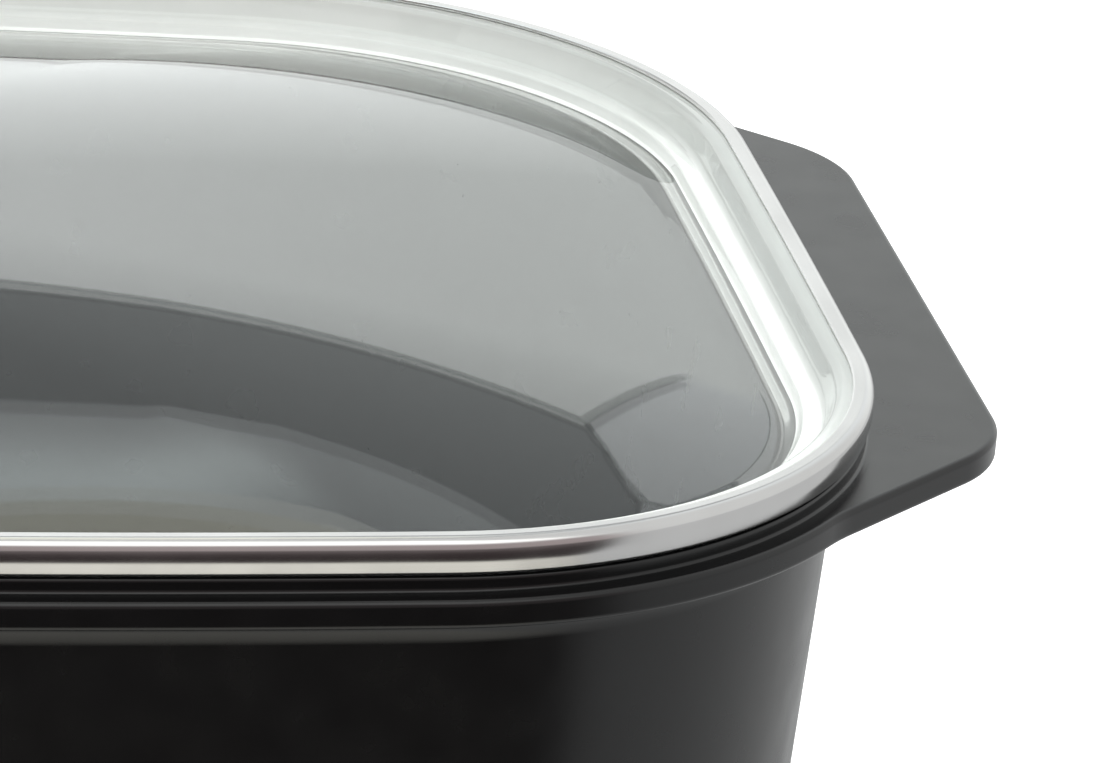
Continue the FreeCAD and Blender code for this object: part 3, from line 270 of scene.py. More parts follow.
def corner_centre():
    """Centre of the corner arc that is tangent inside both bowed sides."""
    long_y = HALF_DEPTH - LONG_SIDE_RADIUS
    short_x = HALF_LENGTH - SHORT_SIDE_RADIUS
    a = LONG_SIDE_RADIUS - CORNER_RADIUS
    b = SHORT_SIDE_RADIUS - CORNER_RADIUS
    span = math.hypot(short_x, long_y)
    along = (a * a - b * b + span * span) / (2 * span)
    across = math.sqrt(a * a - along * along)
    ux, uy = short_x / span, -long_y / span
    ends = [(ux * along - s * uy * across, long_y + uy * along + s * ux * across) for s in (1, -1)]
    return max(ends, key=sum)


CORNER_X, CORNER_Y = corner_centre()
END_TURN = math.atan2(CORNER_Y, CORNER_X - (HALF_LENGTH - SHORT_SIDE_RADIUS))
LONG_TURN = math.atan2(CORNER_Y - (HALF_DEPTH - LONG_SIDE_RADIUS), CORNER_X)


def arc(x, y, radius, start, end, count, side=1):
    """Points (x, y) of an arc with their outward directions, without the last point."""
    rows = []
    for i in range(count):
        turn = start + (end - start) * i / count
        c, s = math.cos(turn), math.sin(turn)
        rows.append((x + radius * c, y + radius * s, side * c, side * s))
    return rows


def mirrored(quarter):
    """The whole loop from one quarter."""
    last = len(quarter) - 1
    half = quarter[:last] + [(-x, y, -u, v) for x, y, u, v in quarter[last:0:-1]]
    return half + [(-x, -y, -u, -v) for x, y, u, v in half]


def long_side(offset):
    """The bowed long side of a quarter, up to the middle."""
    y = HALF_DEPTH - LONG_SIDE_RADIUS
    rows = arc(0, y, LONG_SIDE_RADIUS + offset, LONG_TURN, math.pi / 2, LONG_STEPS)
    return rows + [(0, HALF_DEPTH + offset, 0, 1)]


def outlines():
    """The plain outline and the pot's outline with its ears, with as many points each."""
    tip_x, tip_y = EAR_SPAN / 2, EAR_WIDTH / 2
    root = math.atan2(tip_y - CORNER_Y, tip_x - CORNER_X) + math.radians(EAR_ANGLE)
    size = CORNER_RADIUS + FLANGE_OVERHANG
    hollow_x = CORNER_X + (size + EAR_BLEND) * math.cos(root)
    hollow_y = CORNER_Y + (size + EAR_BLEND) * math.sin(root)
    dx, dy = hollow_x - tip_x, hollow_y - tip_y
    turn = math.atan2(dy, dx) + math.asin(EAR_BLEND / math.hypot(dx, dy))
    ax, ay = math.cos(turn), math.sin(turn)
    reach = dx * ax + dy * ay
    cut = EAR_CORNER * math.tan((turn - math.pi / 2) / 2)
    plain = arc(HALF_LENGTH - SHORT_SIDE_RADIUS, 0, SHORT_SIDE_RADIUS, 0, END_TURN, END_STEPS)
    plain += arc(CORNER_X, CORNER_Y, CORNER_RADIUS, END_TURN, root, sum(EAR_STEPS))
    plain += arc(CORNER_X, CORNER_Y, CORNER_RADIUS, root, LONG_TURN, CORNER_STEPS)
    eared = [(tip_x, (tip_y - cut) * i / END_STEPS, 1, 0) for i in range(END_STEPS)]
    eared += arc(tip_x - EAR_CORNER, tip_y - cut, EAR_CORNER, 0, turn - math.pi / 2, EAR_STEPS[0])
    for i in range(EAR_STEPS[1]):
        t = cut + (reach - cut) * i / EAR_STEPS[1]
        eared.append((tip_x + ax * t, tip_y + ay * t, ay, -ax))
    eared += arc(hollow_x, hollow_y, EAR_BLEND, turn + math.pi / 2, root + math.pi, EAR_STEPS[2], -1)
    eared += arc(CORNER_X, CORNER_Y, size, root, LONG_TURN, CORNER_STEPS)
    return mirrored(plain + long_side(0)), mirrored(eared + long_side(FLANGE_OVERHANG))


PLAIN, EARED = outlines()


def ring(points, offset, z, scale=1.0):
    """A loop of points moved outward by offset, drawn in by scale, at height z."""
    return [((x + u * offset) * scale, (y + v * offset) * scale, z) for x, y, u, v in points]


def bend_points(before, corner, after):
    """Points of the arc that rounds a corner (offset, z, radius) between its two neighbours."""
    tip = Vector(corner[:2])
    radius = corner[2]
    back = (Vector(before[:2]) - tip).normalized()
    ahead = (Vector(after[:2]) - tip).normalized()
    half = back.angle(ahead) / 2
    cut = radius / math.tan(half)
    middle = tip + (back + ahead).normalized() * radius / math.sin(half)
    start = tip + back * cut - middle
    end = tip + ahead * cut - middle
    sweep = start.angle(end)
    points = []
    for k in range(BEND_STEPS + 1):
        t = k / BEND_STEPS
        first = start * math.sin((1 - t) * sweep) / math.sin(sweep)
        last = end * math.sin(t * sweep) / math.sin(sweep)
        points.append(tuple(middle + (first + last)))
    return points


def run_points(start, end):
    """A point close to each end of a straight run, so that flat faces shade flat."""
    start, end = Vector(start), Vector(end)
    length = (end - start).length
    if length <= SHORT_RUN:
        return []
    share = min(RUN_END, RUN_END_SHARE * length) / length
    return [tuple(start.lerp(end, share)), tuple(start.lerp(end, 1 - share))]


def rounded(corners, closed=False):
    """Corner points (offset, z, radius) joined by straight runs, each corner rounded."""
    count = len(corners)
    rows = []
    for i, corner in enumerate(corners):
        if not closed and i in (0, count - 1):
            rows.append([corner[:2]])
        else:
            rows.append(bend_points(corners[i - 1], corner, corners[(i + 1) % count]))
    line = []
    for i, row in enumerate(rows):
        line += row
        if closed or i < count - 1:
            line += run_points(row[-1], rows[(i + 1) % count][0])
    return line


def link(name, data):
    """A new object in the scene."""
    thing = bpy.data.objects.new(name, data)
    bpy.context.scene.collection.objects.link(thing)
    return thing


def skin(name, rings, closed=False, capped=False):
    """A smooth mesh over rings of equally many points, closed in a loop or capped at both ends."""
    count = len(rings[0])
    points = [p for row in rings for p in row]
    faces = []
    for i in range(len(rings) if closed else len(rings) - 1):
        a, b = i * count, (i + 1) % len(rings) * count
        for k in range(count):
            n = (k + 1) % count
            faces.append((a + k, a + n, b + n, b + k))
    for row in (0, (len(rings) - 1) * count) if capped else ():
        middle = len(points)
        points.append((0, 0, points[row][2]))
        faces += [(row + k, row + (k + 1) % count, middle) for k in range(count)]
    mesh = bpy.data.meshes.new(name)
    mesh.from_pydata([(x * MM, y * MM, z * MM) for x, y, z in points], [], faces)
    mesh.validate()
    mesh.shade_smooth()
    return link(name, mesh)


def face_outward(piece):
    """Turn the faces of a closed mesh outward."""
    work = bmesh.new()
    work.from_mesh(piece.data)
    bmesh.ops.recalc_face_normals(work, faces=work.faces)
    work.to_mesh(piece.data)
    work.free()


def pot_wall(z):
    """Offset of the pot's outer wall at height z."""
    return -POT_WALL_INSET - (POT_UNDER_FLANGE - z) * POT_DRAFT


def make_pot():
    """Cast pot: floor, wall, lid rebate with a bead, flange with ears, cove, outer wall and rounded foot."""
    inside = rounded([
        (POT_FLOOR_FLAT, POT_FLOOR_TOP, 0),
        (pot_wall(POT_FLOOR_TOP) - POT_WALL, POT_FLOOR_TOP, POT_FLOOR_ROUND),
        (pot_wall(POT_LEDGE) - POT_WALL, POT_LEDGE, POT_LEDGE_ROUND),
        (POT_REBATE, POT_LEDGE, POT_BREAK),
        (POT_REBATE, POT_BEAD_TOP, POT_BEAD_ROUND),
        (POT_BEAD_OUTSIDE, POT_BEAD_TOP, POT_BEAD_ROUND),
        (POT_BEAD_OUTSIDE, POT_FLANGE, POT_BEAD_ROUND),
        (POT_BEAD_OUTSIDE + POT_BEAD_FOOT, POT_FLANGE, 0),
    ])
    edge = rounded([
        (-FLANGE_TOP_RUN, POT_FLANGE, 0),
        (0.0, POT_FLANGE, FLANGE_ROUND),
        (0.0, POT_UNDER_FLANGE, FLANGE_ROUND),
        (-FLANGE_UNDER_RUN, POT_UNDER_FLANGE, 0),
    ])[2:]
    outside = rounded([
        (POT_COVE_START, POT_UNDER_FLANGE, 0),
        (pot_wall(POT_UNDER_FLANGE), POT_UNDER_FLANGE, POT_COVE),
        (pot_wall(POT_BOTTOM), POT_BOTTOM, POT_BOTTOM_ROUND),
        (POT_BOTTOM_FLAT, POT_BOTTOM, 0),
    ])
    rings = [ring(PLAIN, POT_FLOOR_FLAT, POT_FLOOR_TOP, s) for s in FLOOR_SCALES]
    rings += [ring(PLAIN, offset, z) for offset, z in inside]
    rings += [ring(EARED, offset, z) for offset, z in edge]
    rings += [ring(PLAIN, offset, z) for offset, z in outside]
    rings += [ring(PLAIN, POT_BOTTOM_FLAT, POT_BOTTOM, s) for s in FLOOR_SCALES[::-1]]
    piece = skin("pot_casting", rings, capped=True)
    face_outward(piece)
    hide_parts("cooking_pot")
    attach(piece, "pot")
    dress(piece, "pot_coating")


def dome_height(scale):
    """Rise of the dome over the gutter where the outline is drawn in by scale; it levels out at the edge."""
    share = max(scale, DOME_FLAT)
    drop = min(share, DOME_EASE) ** 2
    if share > DOME_EASE:
        past = share - DOME_EASE
        drop += 2 * DOME_EASE * (past - past ** 2 / (2 * (1 - DOME_EASE)))
    return DOME_RISE * (1 - drop) / (1 - DOME_FLAT ** 2)


def dome_rings(z):
    """Rings of one face of the dome, from the gutter in to the screw hole."""
    rings = []
    for i in range(1, DOME_STEPS + 1):
        scale = 1 - (1 - DOME_FLAT) * (i / DOME_STEPS) ** DOME_CROWDING
        rings.append(ring(PLAIN, DOME_OFFSET, z + dome_height(scale), scale))
    flat = rings[-1]
    for share in HOLE_SHARES:
        row = []
        for x, y, height in flat:
            length = math.hypot(x, y)
            reach = length + (LID_HOLE - length) * share
            row.append((x * reach / length, y * reach / length, height))
        rings.append(row)
    return rings


def glass_rim():
    """Section of the glass rim, from the dome's upper face to its lower face."""
    edge = GLASS_GUTTER + dome_height(1.0)
    section = rounded([
        (RIM_START, edge, 0),
        (RIM_BREAK, edge, RIM_BREAK_ROUND),
        (RIM_STEP_START, RIM_STEP, RIM_STEP_ROUND),
        (RIM_STEP_END, RIM_STEP + RIM_STEP_RISE, RIM_WALL_ROUND),
        (RIM_WALL_TOP, RIM_TOP, RIM_WALL_ROUND),
        (RIM_OUTSIDE, RIM_TOP, RIM_OUTSIDE_ROUND),
        (RIM_OUTSIDE, GLASS_FOOT, RIM_FOOT_ROUND),
        (RIM_FOOT_END, GLASS_FOOT, 0),
    ])
    return section + [(RIM_END, GLASS_FOOT)]


def bed(piece, section, first, has_painted_pale):
    """Give the pale painted-light finish to the faces of a skin whose ends on the section both have it."""
    piece.data.materials.append(FINISH["pale_rim_painted_light"])
    count = len(section)
    for i, face in enumerate(piece.data.polygons):
        step = i // len(PLAIN) - first
        if 0 <= step < count:
            ends = section[step], section[(step + 1) % count]
            face.material_index = int(has_painted_pale(ends))


def glass_bedding(ends):
    """Whether a face of the glass lies on the underside of the rim or on its outer edge, where the pale
    painted light goes.
    """
    low = all(z < PAINTED_PALE_BELOW and offset > PAINTED_PALE_LOW_END for offset, z in ends)
    outer = all(offset > PAINTED_PALE_OUTER_END for offset, z in ends)
    return low or outer


def band_bedding(ends):
    """Whether a face of the band lies inside the channel, where the pale painted light goes."""
    across = all(-BAND_INNER_END < offset < -BAND_INNER for offset, z in ends)
    return across and all(BAND_LOW + BAND_INNER < z < BAND_TOP - BAND_INNER for offset, z in ends)


def make_glass():
    """Pressed glass: dome, gutter, a rim in two steps and a plain outer edge, with both faces."""
    rim = glass_rim()
    upper = dome_rings(GLASS_GUTTER)[::-1]
    rings = upper + [ring(PLAIN, offset, z) for offset, z in rim] + dome_rings(GLASS_FOOT)
    piece = skin("lid_glass_pressing", rings, closed=True)
    piece.data.materials.append(FINISH["lid_glass"])
    # Pale painted light on the rim's underside and outer edge
    bed(piece, rim, len(upper), glass_bedding)
    face_outward(piece)
    piece.visible_shadow = False
    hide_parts("lid_glass")
    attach(piece, "lid")


def make_band():
    """Rolled steel channel round the glass edge."""
    section = rounded([
        (-BAND_TUCK, BAND_LOW, BAND_TUCK_ROUND),
        (0.0, BAND_BELLY, BAND_BELLY_ROUND),
        (-BAND_SHOULDER, BAND_TOP, BAND_SHOULDER_ROUND),
        (-BAND_LIP, BAND_TOP, BAND_HEM_ROUND),
        (-BAND_LIP, BAND_TOP - BAND_SHEET, BAND_HEM_ROUND),
        (-BAND_INSIDE_TOP, BAND_TOP - BAND_SHEET, BAND_INSIDE_TOP_ROUND),
        (-BAND_INSIDE_LOW, BAND_LOW + BAND_SHEET, BAND_INSIDE_LOW_ROUND),
        (-BAND_HEM, BAND_LOW + BAND_SHEET, BAND_HEM_ROUND),
        (-BAND_HEM, BAND_LOW, BAND_HEM_ROUND),
    ], closed=True)
    piece = skin("lid_band_channel", [ring(PLAIN, offset, z) for offset, z in section], closed=True)
    piece.data.materials.append(FINISH["rim_steel"])
    # Pale painted light on the faces inside the channel
    bed(piece, section, 0, band_bedding)
    face_outward(piece)
    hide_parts("lid_rim_band")
    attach(piece, "lid")


# Materials: colour and roughness vary with fine noise, and the grain goes into the bump
def blank_material(name):
    """A new material with its node tree, shader and object coordinates."""
    material = bpy.data.materials.new(name)
    material.use_nodes = True
    tree = material.node_tree
    shader = tree.nodes["Principled BSDF"]
    place = tree.nodes.new("ShaderNodeTexCoord")
    return material, tree, shader, place.outputs["Object"]


def noise(tree, place, scale, detail=3.0, stretch=None):
    """Noise at the given number of features per metre, stretched along an axis if asked."""
    node = tree.nodes.new("ShaderNodeTexNoise")
    node.inputs["Scale"].default_value = scale
    node.inputs["Detail"].default_value = detail
    if stretch:
        mapping = tree.nodes.new("ShaderNodeMapping")
        mapping.inputs["Scale"].default_value = stretch
        tree.links.new(place, mapping.inputs["Vector"])
        place = mapping.outputs["Vector"]
    tree.links.new(place, node.inputs["Vector"])
    return node.outputs["Fac"]


def spread(tree, value, low, high, socket):
    """Map the middle of a noise to the range low to high on a socket."""
    node = tree.nodes.new("ShaderNodeMapRange")
    node.inputs["From Min"].default_value = NOISE_LOW
    node.inputs["From Max"].default_value = NOISE_HIGH
    node.inputs["To Min"].default_value = low
    node.inputs["To Max"].default_value = high
    tree.links.new(value, node.inputs["Value"])
    tree.links.new(node.outputs["Result"], socket)


def tint(tree, value, dark, light, socket):
    """Mix two colours by a noise on a socket."""
    node = tree.nodes.new("ShaderNodeValToRGB")
    node.color_ramp.elements[0].position = NOISE_LOW
    node.color_ramp.elements[1].position = NOISE_HIGH
    node.color_ramp.elements[0].color = (*dark, 1)
    node.color_ramp.elements[1].color = (*light, 1)
    tree.links.new(value, node.inputs["Fac"])
    tree.links.new(node.outputs["Color"], socket)


def grain(tree, value, strength, depth, shader):
    """Bump of the given depth in metres on the shader's normal."""
    node = tree.nodes.new("ShaderNodeBump")
    node.inputs["Strength"].default_value = strength
    node.inputs["Distance"].default_value = depth
    tree.links.new(value, node.inputs["Height"])
    tree.links.new(node.outputs["Normal"], shader.inputs["Normal"])


def surface(name, dark, light, rough, patch, grains, bump, metallic=0.0, ior=1.5, stretch=None):
    """An opaque finish: two close colours, a roughness range, patch and grain sizes per metre."""
    material, tree, shader, place = blank_material(name)
    shader.inputs["Metallic"].default_value = metallic
    shader.inputs["IOR"].default_value = ior
    patches = noise(tree, place, patch, 4.0, stretch)
    wear = noise(tree, place, patch * 2.3, 3.0, stretch)
    tint(tree, patches, dark, light, shader.inputs["Base Color"])
    spread(tree, wear, *rough, shader.inputs["Roughness"])
    grain(tree, noise(tree, place, grains, 2.0, stretch), *bump, shader)
    return material


def glass_material():
    """Clear pressed glass with a faint green cast."""
    material, tree, shader, place = blank_material("clear_pressed_glass")
    shader.inputs["Transmission Weight"].default_value = 1.0
    shader.inputs["IOR"].default_value = 1.5
    tint(tree, noise(tree, place, 9.0), (0.95, 0.985, 0.97), (0.965, 0.99, 0.98), shader.inputs["Base Color"])
    spread(tree, noise(tree, place, 30.0), 0.0, 0.004, shader.inputs["Roughness"])
    return material


def make_materials():
    """One finish for each material slot of the record, and a pale painted-light finish behind the glass rim.

    Each has its darker and lighter colour, roughness range, patches and grains per metre, and bump.
    """
    coat = dict(patch=60.0, grains=5200.0, bump=(0.06, 0.00008), ior=1.45)
    return {
        "pot_coating": surface(
            "pot_coat", (0.0022, 0.0022, 0.0023), (0.0032, 0.0032, 0.0034), (0.23, 0.28), **coat),
        "tray_coating": surface(
            "tray_coat", (0.006, 0.006, 0.0064), (0.010, 0.010, 0.0105), (0.34, 0.44), **coat),
        "lid_glass": glass_material(),
        "rim_steel": surface(
            "rim_steel", (0.57, 0.565, 0.56), (0.64, 0.635, 0.63), (0.15, 0.20),
            40.0, 900.0, (0.03, 0.00005), metallic=1.0),
        "knob_phenolic": surface(
            "knob_moulding", (0.010, 0.010, 0.0105), (0.016, 0.016, 0.0165), (0.28, 0.36),
            70.0, 1500.0, (0.10, 0.0001)),
        "housing_plastic": surface(
            "housing_moulding", (0.0135, 0.0135, 0.0142), (0.016, 0.016, 0.0168), (0.40, 0.46),
            50.0, 2400.0, (0.22, 0.0001)),
        "dial_plate": surface(
            "dial_plate_print", (0.012, 0.012, 0.013), (0.02, 0.02, 0.021), (0.30, 0.38),
            90.0, 1400.0, (0.08, 0.0001)),
        "pointer_white": surface(
            "white_inlay", (0.74, 0.74, 0.72), (0.82, 0.82, 0.80), (0.30, 0.40),
            150.0, 1200.0, (0.05, 0.0001)),
        "soft_rubber": surface(
            "foot_rubber", (0.014, 0.014, 0.014), (0.026, 0.026, 0.026), (0.68, 0.82),
            120.0, 1700.0, (0.25, 0.00015)),
        "seal_silicone": surface(
            "seal_silicone", (0.36, 0.355, 0.34), (0.44, 0.435, 0.42), (0.48, 0.60),
            120.0, 1500.0, (0.15, 0.0001)),
        # Painted light: a pale matt finish on hidden faces of the glass rim and inside the steel band, which
        # makes the rim look bright through the glass
        "pale_rim_painted_light": surface(
            "pale_rim_painted_light", (0.80, 0.81, 0.79), (0.84, 0.85, 0.83), (0.45, 0.55),
            120.0, 1500.0, (0.05, 0.0001)),
        "element_steel": surface(
            "element_sheath", (0.16, 0.14, 0.12), (0.34, 0.31, 0.27), (0.32, 0.48),
            55.0, 1200.0, (0.15, 0.0001), metallic=1.0),
        "plated_steel": surface(
            "plated_steel", (0.50, 0.50, 0.49), (0.60, 0.60, 0.60), (0.24, 0.36),
            160.0, 1500.0, (0.10, 0.00008), metallic=1.0),
        "shield_sheet": surface(
            "shield_sheet", (0.56, 0.56, 0.57), (0.68, 0.68, 0.69), (0.26, 0.38),
            45.0, 1500.0, (0.12, 0.00008), metallic=1.0, stretch=(1, 14, 1)),
        "white_ceramic": surface(
            "white_ceramic", (0.66, 0.64, 0.59), (0.76, 0.74, 0.69), (0.58, 0.70),
            200.0, 1600.0, (0.2, 0.0001)),
        "brass": surface(
            "plain_brass", (0.55, 0.39, 0.15), (0.66, 0.49, 0.21), (0.24, 0.36),
            120.0, 1500.0, (0.1, 0.00008), metallic=1.0),
        "wire_sleeve": surface(
            "wire_sleeve", (0.36, 0.035, 0.022), (0.46, 0.05, 0.032), (0.44, 0.55),
            160.0, 1500.0, (0.12, 0.0001)),
        "cover_paint": surface(
            "cover_paint", (0.014, 0.014, 0.0148), (0.022, 0.022, 0.023), (0.44, 0.56),
            60.0, 1500.0, (0.25, 0.00012)),
    }


def dress(piece, slot):
    """Give a piece one finish all over."""
    piece.data.materials.clear()
    piece.data.materials.append(FINISH[slot])


def dress_nodes():
    """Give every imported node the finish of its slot."""
    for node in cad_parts.values():
        for place in node.material_slots:
            place.material = FINISH[place.material.name.split(".")[0]]


# Dial scale: plain numbers round the dial with a short bar between each two
def dial_place(turn):
    """Matrix that stands a flat shape upright on the plate's face, at an angle clockwise from the top."""
    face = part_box("dial_plate")[0][1]
    dial_low, dial_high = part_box("control_knob")
    x = SCALE_RADIUS * MM * math.sin(turn)
    z = (dial_low[2] + dial_high[2]) / 2 + SCALE_RADIUS * MM * math.cos(turn)
    return Matrix.Translation((x, face, z)) @ Matrix.Rotation(math.pi / 2, 4, "X")


def digit_mesh(digit):
    """A raised digit, centred on its origin."""
    curve = bpy.data.curves.new("digit", "FONT")
    curve.body = str(digit)
    curve.size = DIGIT_SIZE * MM
    curve.extrude = PRINT_HEIGHT * MM
    curve.resolution_u = DIGIT_STEPS
    curve.align_x = "CENTER"
    curve.align_y = "CENTER"
    holder = link("digit", curve)
    bpy.context.view_layer.update()
    mesh = bpy.data.meshes.new_from_object(holder.evaluated_get(bpy.context.evaluated_depsgraph_get()))
    bpy.data.objects.remove(holder)
    return mesh


def bar_mesh():
    """A short raised bar with round ends."""
    radius = BAR_WIDTH / 2
    half = BAR_LENGTH / 2 - radius
    rim = []
    for end in (1, -1):
        for k in range(BAR_STEPS + 1):
            turn = math.pi * k / BAR_STEPS
            rim.append((end * radius * math.cos(turn), end * (half + radius * math.sin(turn))))
    count = len(rim)
    points = [(x * MM, y * MM, side * PRINT_HEIGHT * MM) for side in (-1, 1) for x, y in rim]
    faces = [tuple(range(count - 1, -1, -1)), tuple(range(count, 2 * count))]
    faces += [(k, (k + 1) % count, count + (k + 1) % count, count + k) for k in range(count)]
    mesh = bpy.data.meshes.new("bar")
    mesh.from_pydata(points, [], faces)
    return mesh


def make_scale():
    """Numbers and bars of the dial scale as one piece on the plate."""
    work = bmesh.new()
    for digit in range(DIGITS):
        turn = DIAL_SWEEP * digit / (DIGITS - 1)
        mesh = digit_mesh(digit)
        mesh.transform(dial_place(turn))
        work.from_mesh(mesh)
    for gap in range(DIGITS - 1):
        turn = DIAL_SWEEP * (gap + 0.5) / (DIGITS - 1)
        mesh = bar_mesh()
        mesh.transform(dial_place(turn) @ Matrix.Rotation(-turn, 4, "Z"))
        work.from_mesh(mesh)
    mesh = bpy.data.meshes.new("dial_scale")
    work.to_mesh(mesh)
    work.free()
    piece = link("dial_scale", mesh)
    dress(piece, "pointer_white")
    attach(piece, "base")


# Stage: white ground, a plain room for reflections, two soft lamps and the camera
class Field:
    """Small helper that builds fields of numbers and colours out of nodes."""

    def __init__(self, tree):
        self.tree = tree

    def math(self, operation, a, b=None):
        """One operation on numbers or sockets."""
        node = self.tree.nodes.new("ShaderNodeMath")
        node.operation = operation
        for i, value in enumerate((a, b)):
            if value is None:
                continue
            if isinstance(value, (int, float)):
                node.inputs[i].default_value = value
            else:
                self.tree.links.new(value, node.inputs[i])
        return node.outputs[0]

    def past(self, value, start):
        """How far a value is past a start, and 0 before it."""
        return self.math("MAXIMUM", self.math("SUBTRACT", value, start), 0.0)

    def square(self, value):
        """A value times itself."""
        return self.math("MULTIPLY", value, value)

    def step(self, value, edge):
        """0 below the edge's first number, 1 above its second, smooth between."""
        node = self.tree.nodes.new("ShaderNodeMapRange")
        node.interpolation_type = "SMOOTHSTEP"
        self.tree.links.new(value, node.inputs["Value"])
        node.inputs["From Min"].default_value, node.inputs["From Max"].default_value = edge
        return node.outputs["Result"]

    def line(self, value, edge):
        """1 near value 0, and 0 past the edge on both sides."""
        return self.math("SUBTRACT", 1.0, self.step(self.math("ABSOLUTE", value), edge))

    def mix(self, factor, a, b):
        """Colour a where factor is 0 and colour b where it is 1."""
        node = self.tree.nodes.new("ShaderNodeMix")
        node.data_type = "RGBA"
        self.tree.links.new(factor, node.inputs["Factor"])
        for name, value in (("A", a), ("B", b)):
            socket = [s for s in node.inputs if s.name == name and s.type == "RGBA"][0]
            if isinstance(value, tuple):
                socket.default_value = (*value, 1)
            else:
                self.tree.links.new(value, socket)
        return [s for s in node.outputs if s.type == "RGBA"][0]


def ground_material():
    """Pale matt ground that glows a little to the camera, straight and through the glass."""
    material = bpy.data.materials.new("ground_white")
    material.use_nodes = True
    tree = material.node_tree
    tree.nodes.clear()
    field = Field(tree)
    out = tree.nodes.new("ShaderNodeOutputMaterial")
    matt = tree.nodes.new("ShaderNodeBsdfDiffuse")
    matt.inputs["Color"].default_value = GROUND_TONE
    glow = tree.nodes.new("ShaderNodeEmission")
    path = tree.nodes.new("ShaderNodeLightPath")
    both = tree.nodes.new("ShaderNodeAddShader")
    seen = field.math("MAXIMUM", path.outputs["Is Camera Ray"], path.outputs["Is Transmission Ray"])
    tree.links.new(field.math("MULTIPLY", seen, GROUND_GLOW), glow.inputs["Strength"])
    tree.links.new(matt.outputs[0], both.inputs[0])
    tree.links.new(glow.outputs[0], both.inputs[1])
    tree.links.new(both.outputs[0], out.inputs["Surface"])
    return material


def make_floor():
    """Large pale ground that keeps the shadow and shows white to the camera."""
    mesh = bpy.data.meshes.new("ground")
    corners = [(x * GROUND_HALF, y * GROUND_HALF, 0) for x, y in ((-1, -1), (1, -1), (1, 1), (-1, 1))]
    mesh.from_pydata(corners, [], [(0, 1, 2, 3)])
    mesh.materials.append(ground_material())
    ground = link("ground", mesh)
    ground.visible_glossy = False


def directions(field):
    """Azimuth and height of the direction looked in, in degrees."""
    place = field.tree.nodes.new("ShaderNodeTexCoord")
    split = field.tree.nodes.new("ShaderNodeSeparateXYZ")
    field.tree.links.new(place.outputs["Generated"], split.inputs[0])
    x, y, z = split.outputs
    degrees = 180 / math.pi
    azimuth = field.math("MULTIPLY", field.math("ARCTAN2", x, y), degrees)
    height = field.math("MULTIPLY", field.math("ARCSINE", z), degrees)
    return azimuth, height


def wall_tone(field, azimuth, height, turned):
    """The back wall, the right wall past the corner, the sides further round, and a darker foot."""
    away = field.math("ABSOLUTE", azimuth)
    wall = field.mix(field.step(azimuth, BACK_WALL_FADE), BACK_WALL, BACK_WALL_RIGHT)
    wall = field.mix(turned, wall, RIGHT_WALL)
    wall = field.mix(field.step(away, SIDE_WALL_FADE), wall, SIDE_WALL)
    return field.mix(field.step(height, WALL_FOOT_FADE), WALL_FOOT, wall)


def over_ceiling_edge(field, azimuth, height):
    """Height over the ceiling's edge, which sags along the back wall and climbs along the right wall."""
    aside = field.math("ABSOLUTE", field.math("SUBTRACT", azimuth, SAG_MIDDLE))
    bow = field.math("MINIMUM", aside, SAG_REACH)
    sag = field.math("MULTIPLY", field.square(bow), SAG)
    climb = field.math("MULTIPLY", field.past(azimuth, CORNER_AZIMUTH), CLIMB)
    edge = field.math("ADD", field.math("ADD", sag, climb), CEILING_EDGE)
    return field.math("SUBTRACT", height, edge)


def ceiling_tone(field, azimuth, height):
    """The ceiling with a lighter field, and a ring and a disc in the field."""
    fall = field.math("MULTIPLY", field.math("MINIMUM", field.past(azimuth, FALL_START), FALL_REACH), FALL)
    rise = field.math("MULTIPLY", field.square(field.past(azimuth, RISE_START)), RISE)
    upper = field.math("SUBTRACT", field.math("ADD", height, fall), rise)
    light = field.mix(field.step(upper, FIELD_FADE), FIELD_NEAR, FIELD_HIGH)
    light = field.mix(field.step(azimuth, FIELD_RIGHT_FADE), light, FIELD_RIGHT)
    ceiling = field.mix(field.step(upper, FIELD_EDGE), CEILING, light)
    bow = field.square(field.math("SUBTRACT", azimuth, RING_MIDDLE))
    inside = field.math("SUBTRACT", height, field.math("MULTIPLY", bow, RING_BOW))
    ceiling = field.mix(field.step(inside, RING_EDGE), ceiling, RING_TONE)
    return field.mix(field.step(inside, DISC_EDGE), ceiling, DISC_TONE)


def front_tone(field, height):
    """The front: a pale table low down, a dark room behind it, and light again overhead."""
    front = field.mix(field.step(height, TABLE_EDGE), TABLE, FRONT_DARK)
    front = field.mix(field.step(height, FRONT_DARK_EDGE), front, FRONT_WALL)
    return field.mix(field.step(height, FRONT_WALL_EDGE), front, FRONT_CEILING)


def room_tone(field):
    """What reflections see: walls, ceiling, dark joints where they meet, and the front."""
    azimuth, height = directions(field)
    away = field.math("ABSOLUTE", azimuth)
    lean = field.math("MULTIPLY", field.math("SUBTRACT", CORNER_TOP, height), CORNER_LEAN)
    corner = field.math("SUBTRACT", azimuth, field.math("ADD", lean, CORNER_AZIMUTH))
    shown = field.step(height, CORNER_SHOWN)
    turned = field.math("MULTIPLY", field.step(corner, CORNER_SOFT), shown)
    over = over_ceiling_edge(field, azimuth, height)
    walls = wall_tone(field, azimuth, height, turned)
    room = field.mix(field.step(over, CEILING_SOFT), walls, ceiling_tone(field, azimuth, height))
    post = field.math("MULTIPLY", field.line(corner, CORNER_LINE), shown)
    post = field.math("MULTIPLY", post, field.math("LESS_THAN", over, 0.0))
    joint = field.math("MAXIMUM", field.line(over, CEILING_LINE), post)
    joint = field.math("MULTIPLY", joint, field.math("LESS_THAN", away, JOINT_END))
    room = field.mix(field.math("MULTIPLY", joint, JOINT_DEPTH), room, JOINT)
    return field.mix(field.step(away, FRONT_START), room, front_tone(field, height))


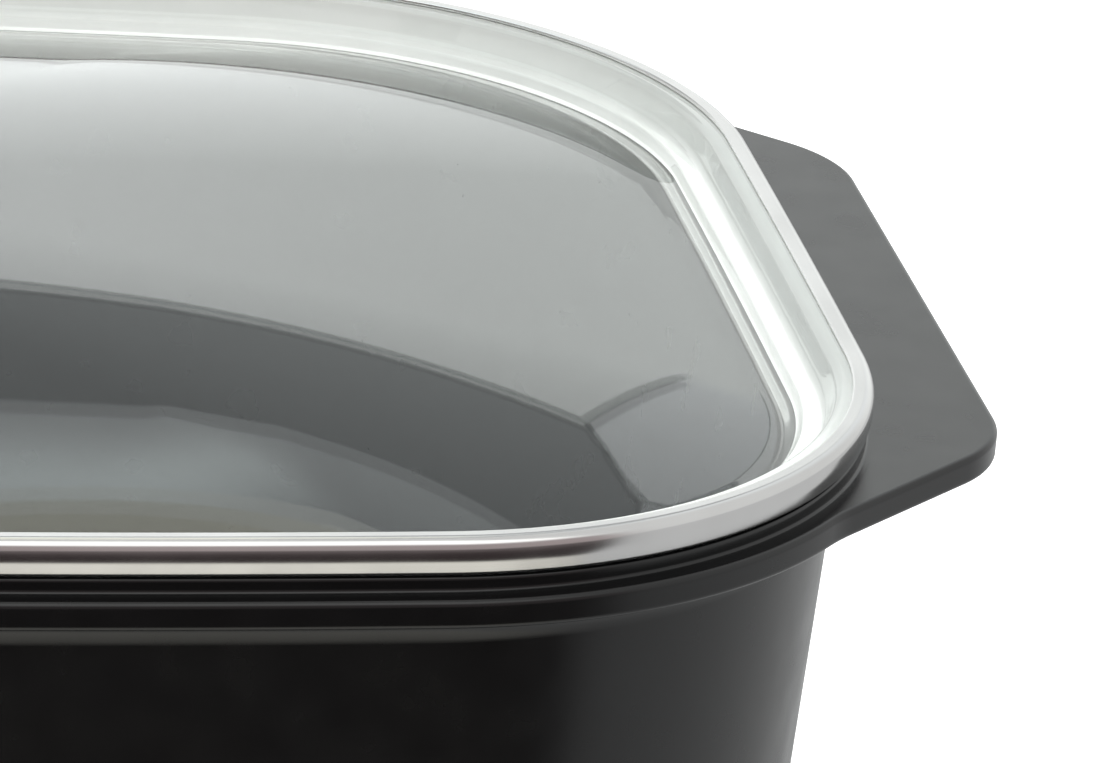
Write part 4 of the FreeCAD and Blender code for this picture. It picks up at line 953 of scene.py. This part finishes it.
def make_world():
    """White to the camera; reflections see a pale room with a darker ceiling and a dim front."""
    world = bpy.data.worlds.new("studio")
    bpy.context.scene.world = world
    world.use_nodes = True
    tree = world.node_tree
    tree.nodes.clear()
    field = Field(tree)
    path = tree.nodes.new("ShaderNodeLightPath")
    mirror = field.math("MAXIMUM", path.outputs["Is Glossy Ray"], path.outputs["Is Transmission Ray"])
    plain = field.mix(path.outputs["Is Camera Ray"], FILL_TONE, WHITE)
    background = tree.nodes.new("ShaderNodeBackground")
    tree.links.new(field.mix(mirror, plain, room_tone(field)), background.inputs["Color"])
    out = tree.nodes.new("ShaderNodeOutputWorld")
    tree.links.new(background.outputs[0], out.inputs["Surface"])


def make_lamp(name, energy, size, place):
    """A large soft lamp aimed at the middle of the object, unseen in reflections."""
    light = bpy.data.lights.new(name, "AREA")
    light.energy = energy
    light.shape = "RECTANGLE"
    light.size, light.size_y = size
    lamp = link(name, light)
    middle = (Vector(cad_box[0]) + Vector(cad_box[1])) / 2
    lamp.location = place
    lamp.rotation_euler = (middle - Vector(place)).to_track_quat("-Z", "Y").to_euler()
    lamp.visible_camera = False
    lamp.visible_glossy = False
    lamp.visible_transmission = False


def make_camera():
    """The photograph's view: close, from the front and a little left, long lens."""
    level = Vector((math.cos(CAMERA_YAW), -math.sin(CAMERA_YAW), 0))
    flat = Vector((math.sin(CAMERA_YAW), math.cos(CAMERA_YAW), 0))
    ahead = flat * math.cos(CAMERA_PITCH) - Vector((0, 0, math.sin(CAMERA_PITCH)))
    up = level.cross(ahead)
    side = level * math.cos(CAMERA_ROLL) + up * math.sin(CAMERA_ROLL)
    top = up * math.cos(CAMERA_ROLL) - level * math.sin(CAMERA_ROLL)
    data = bpy.data.cameras.new("view")
    data.sensor_width = SENSOR_WIDTH
    data.lens = FOCAL_PIXELS * SENSOR_WIDTH / PICTURE_WIDTH
    data.clip_end = CLIP_END
    matrix = Matrix((side, top, -ahead)).transposed().to_4x4()
    matrix.translation = CAMERA_PLACE
    camera = link("view", data)
    camera.matrix_world = matrix
    bpy.context.scene.camera = camera


FINISH = make_materials()
make_pot()
make_glass()
make_band()
dress_nodes()
make_scale()
make_floor()
make_world()
for lamp in LAMPS:
    make_lamp(*lamp)
make_camera()
bpy.context.scene.view_settings.view_transform = "Standard"
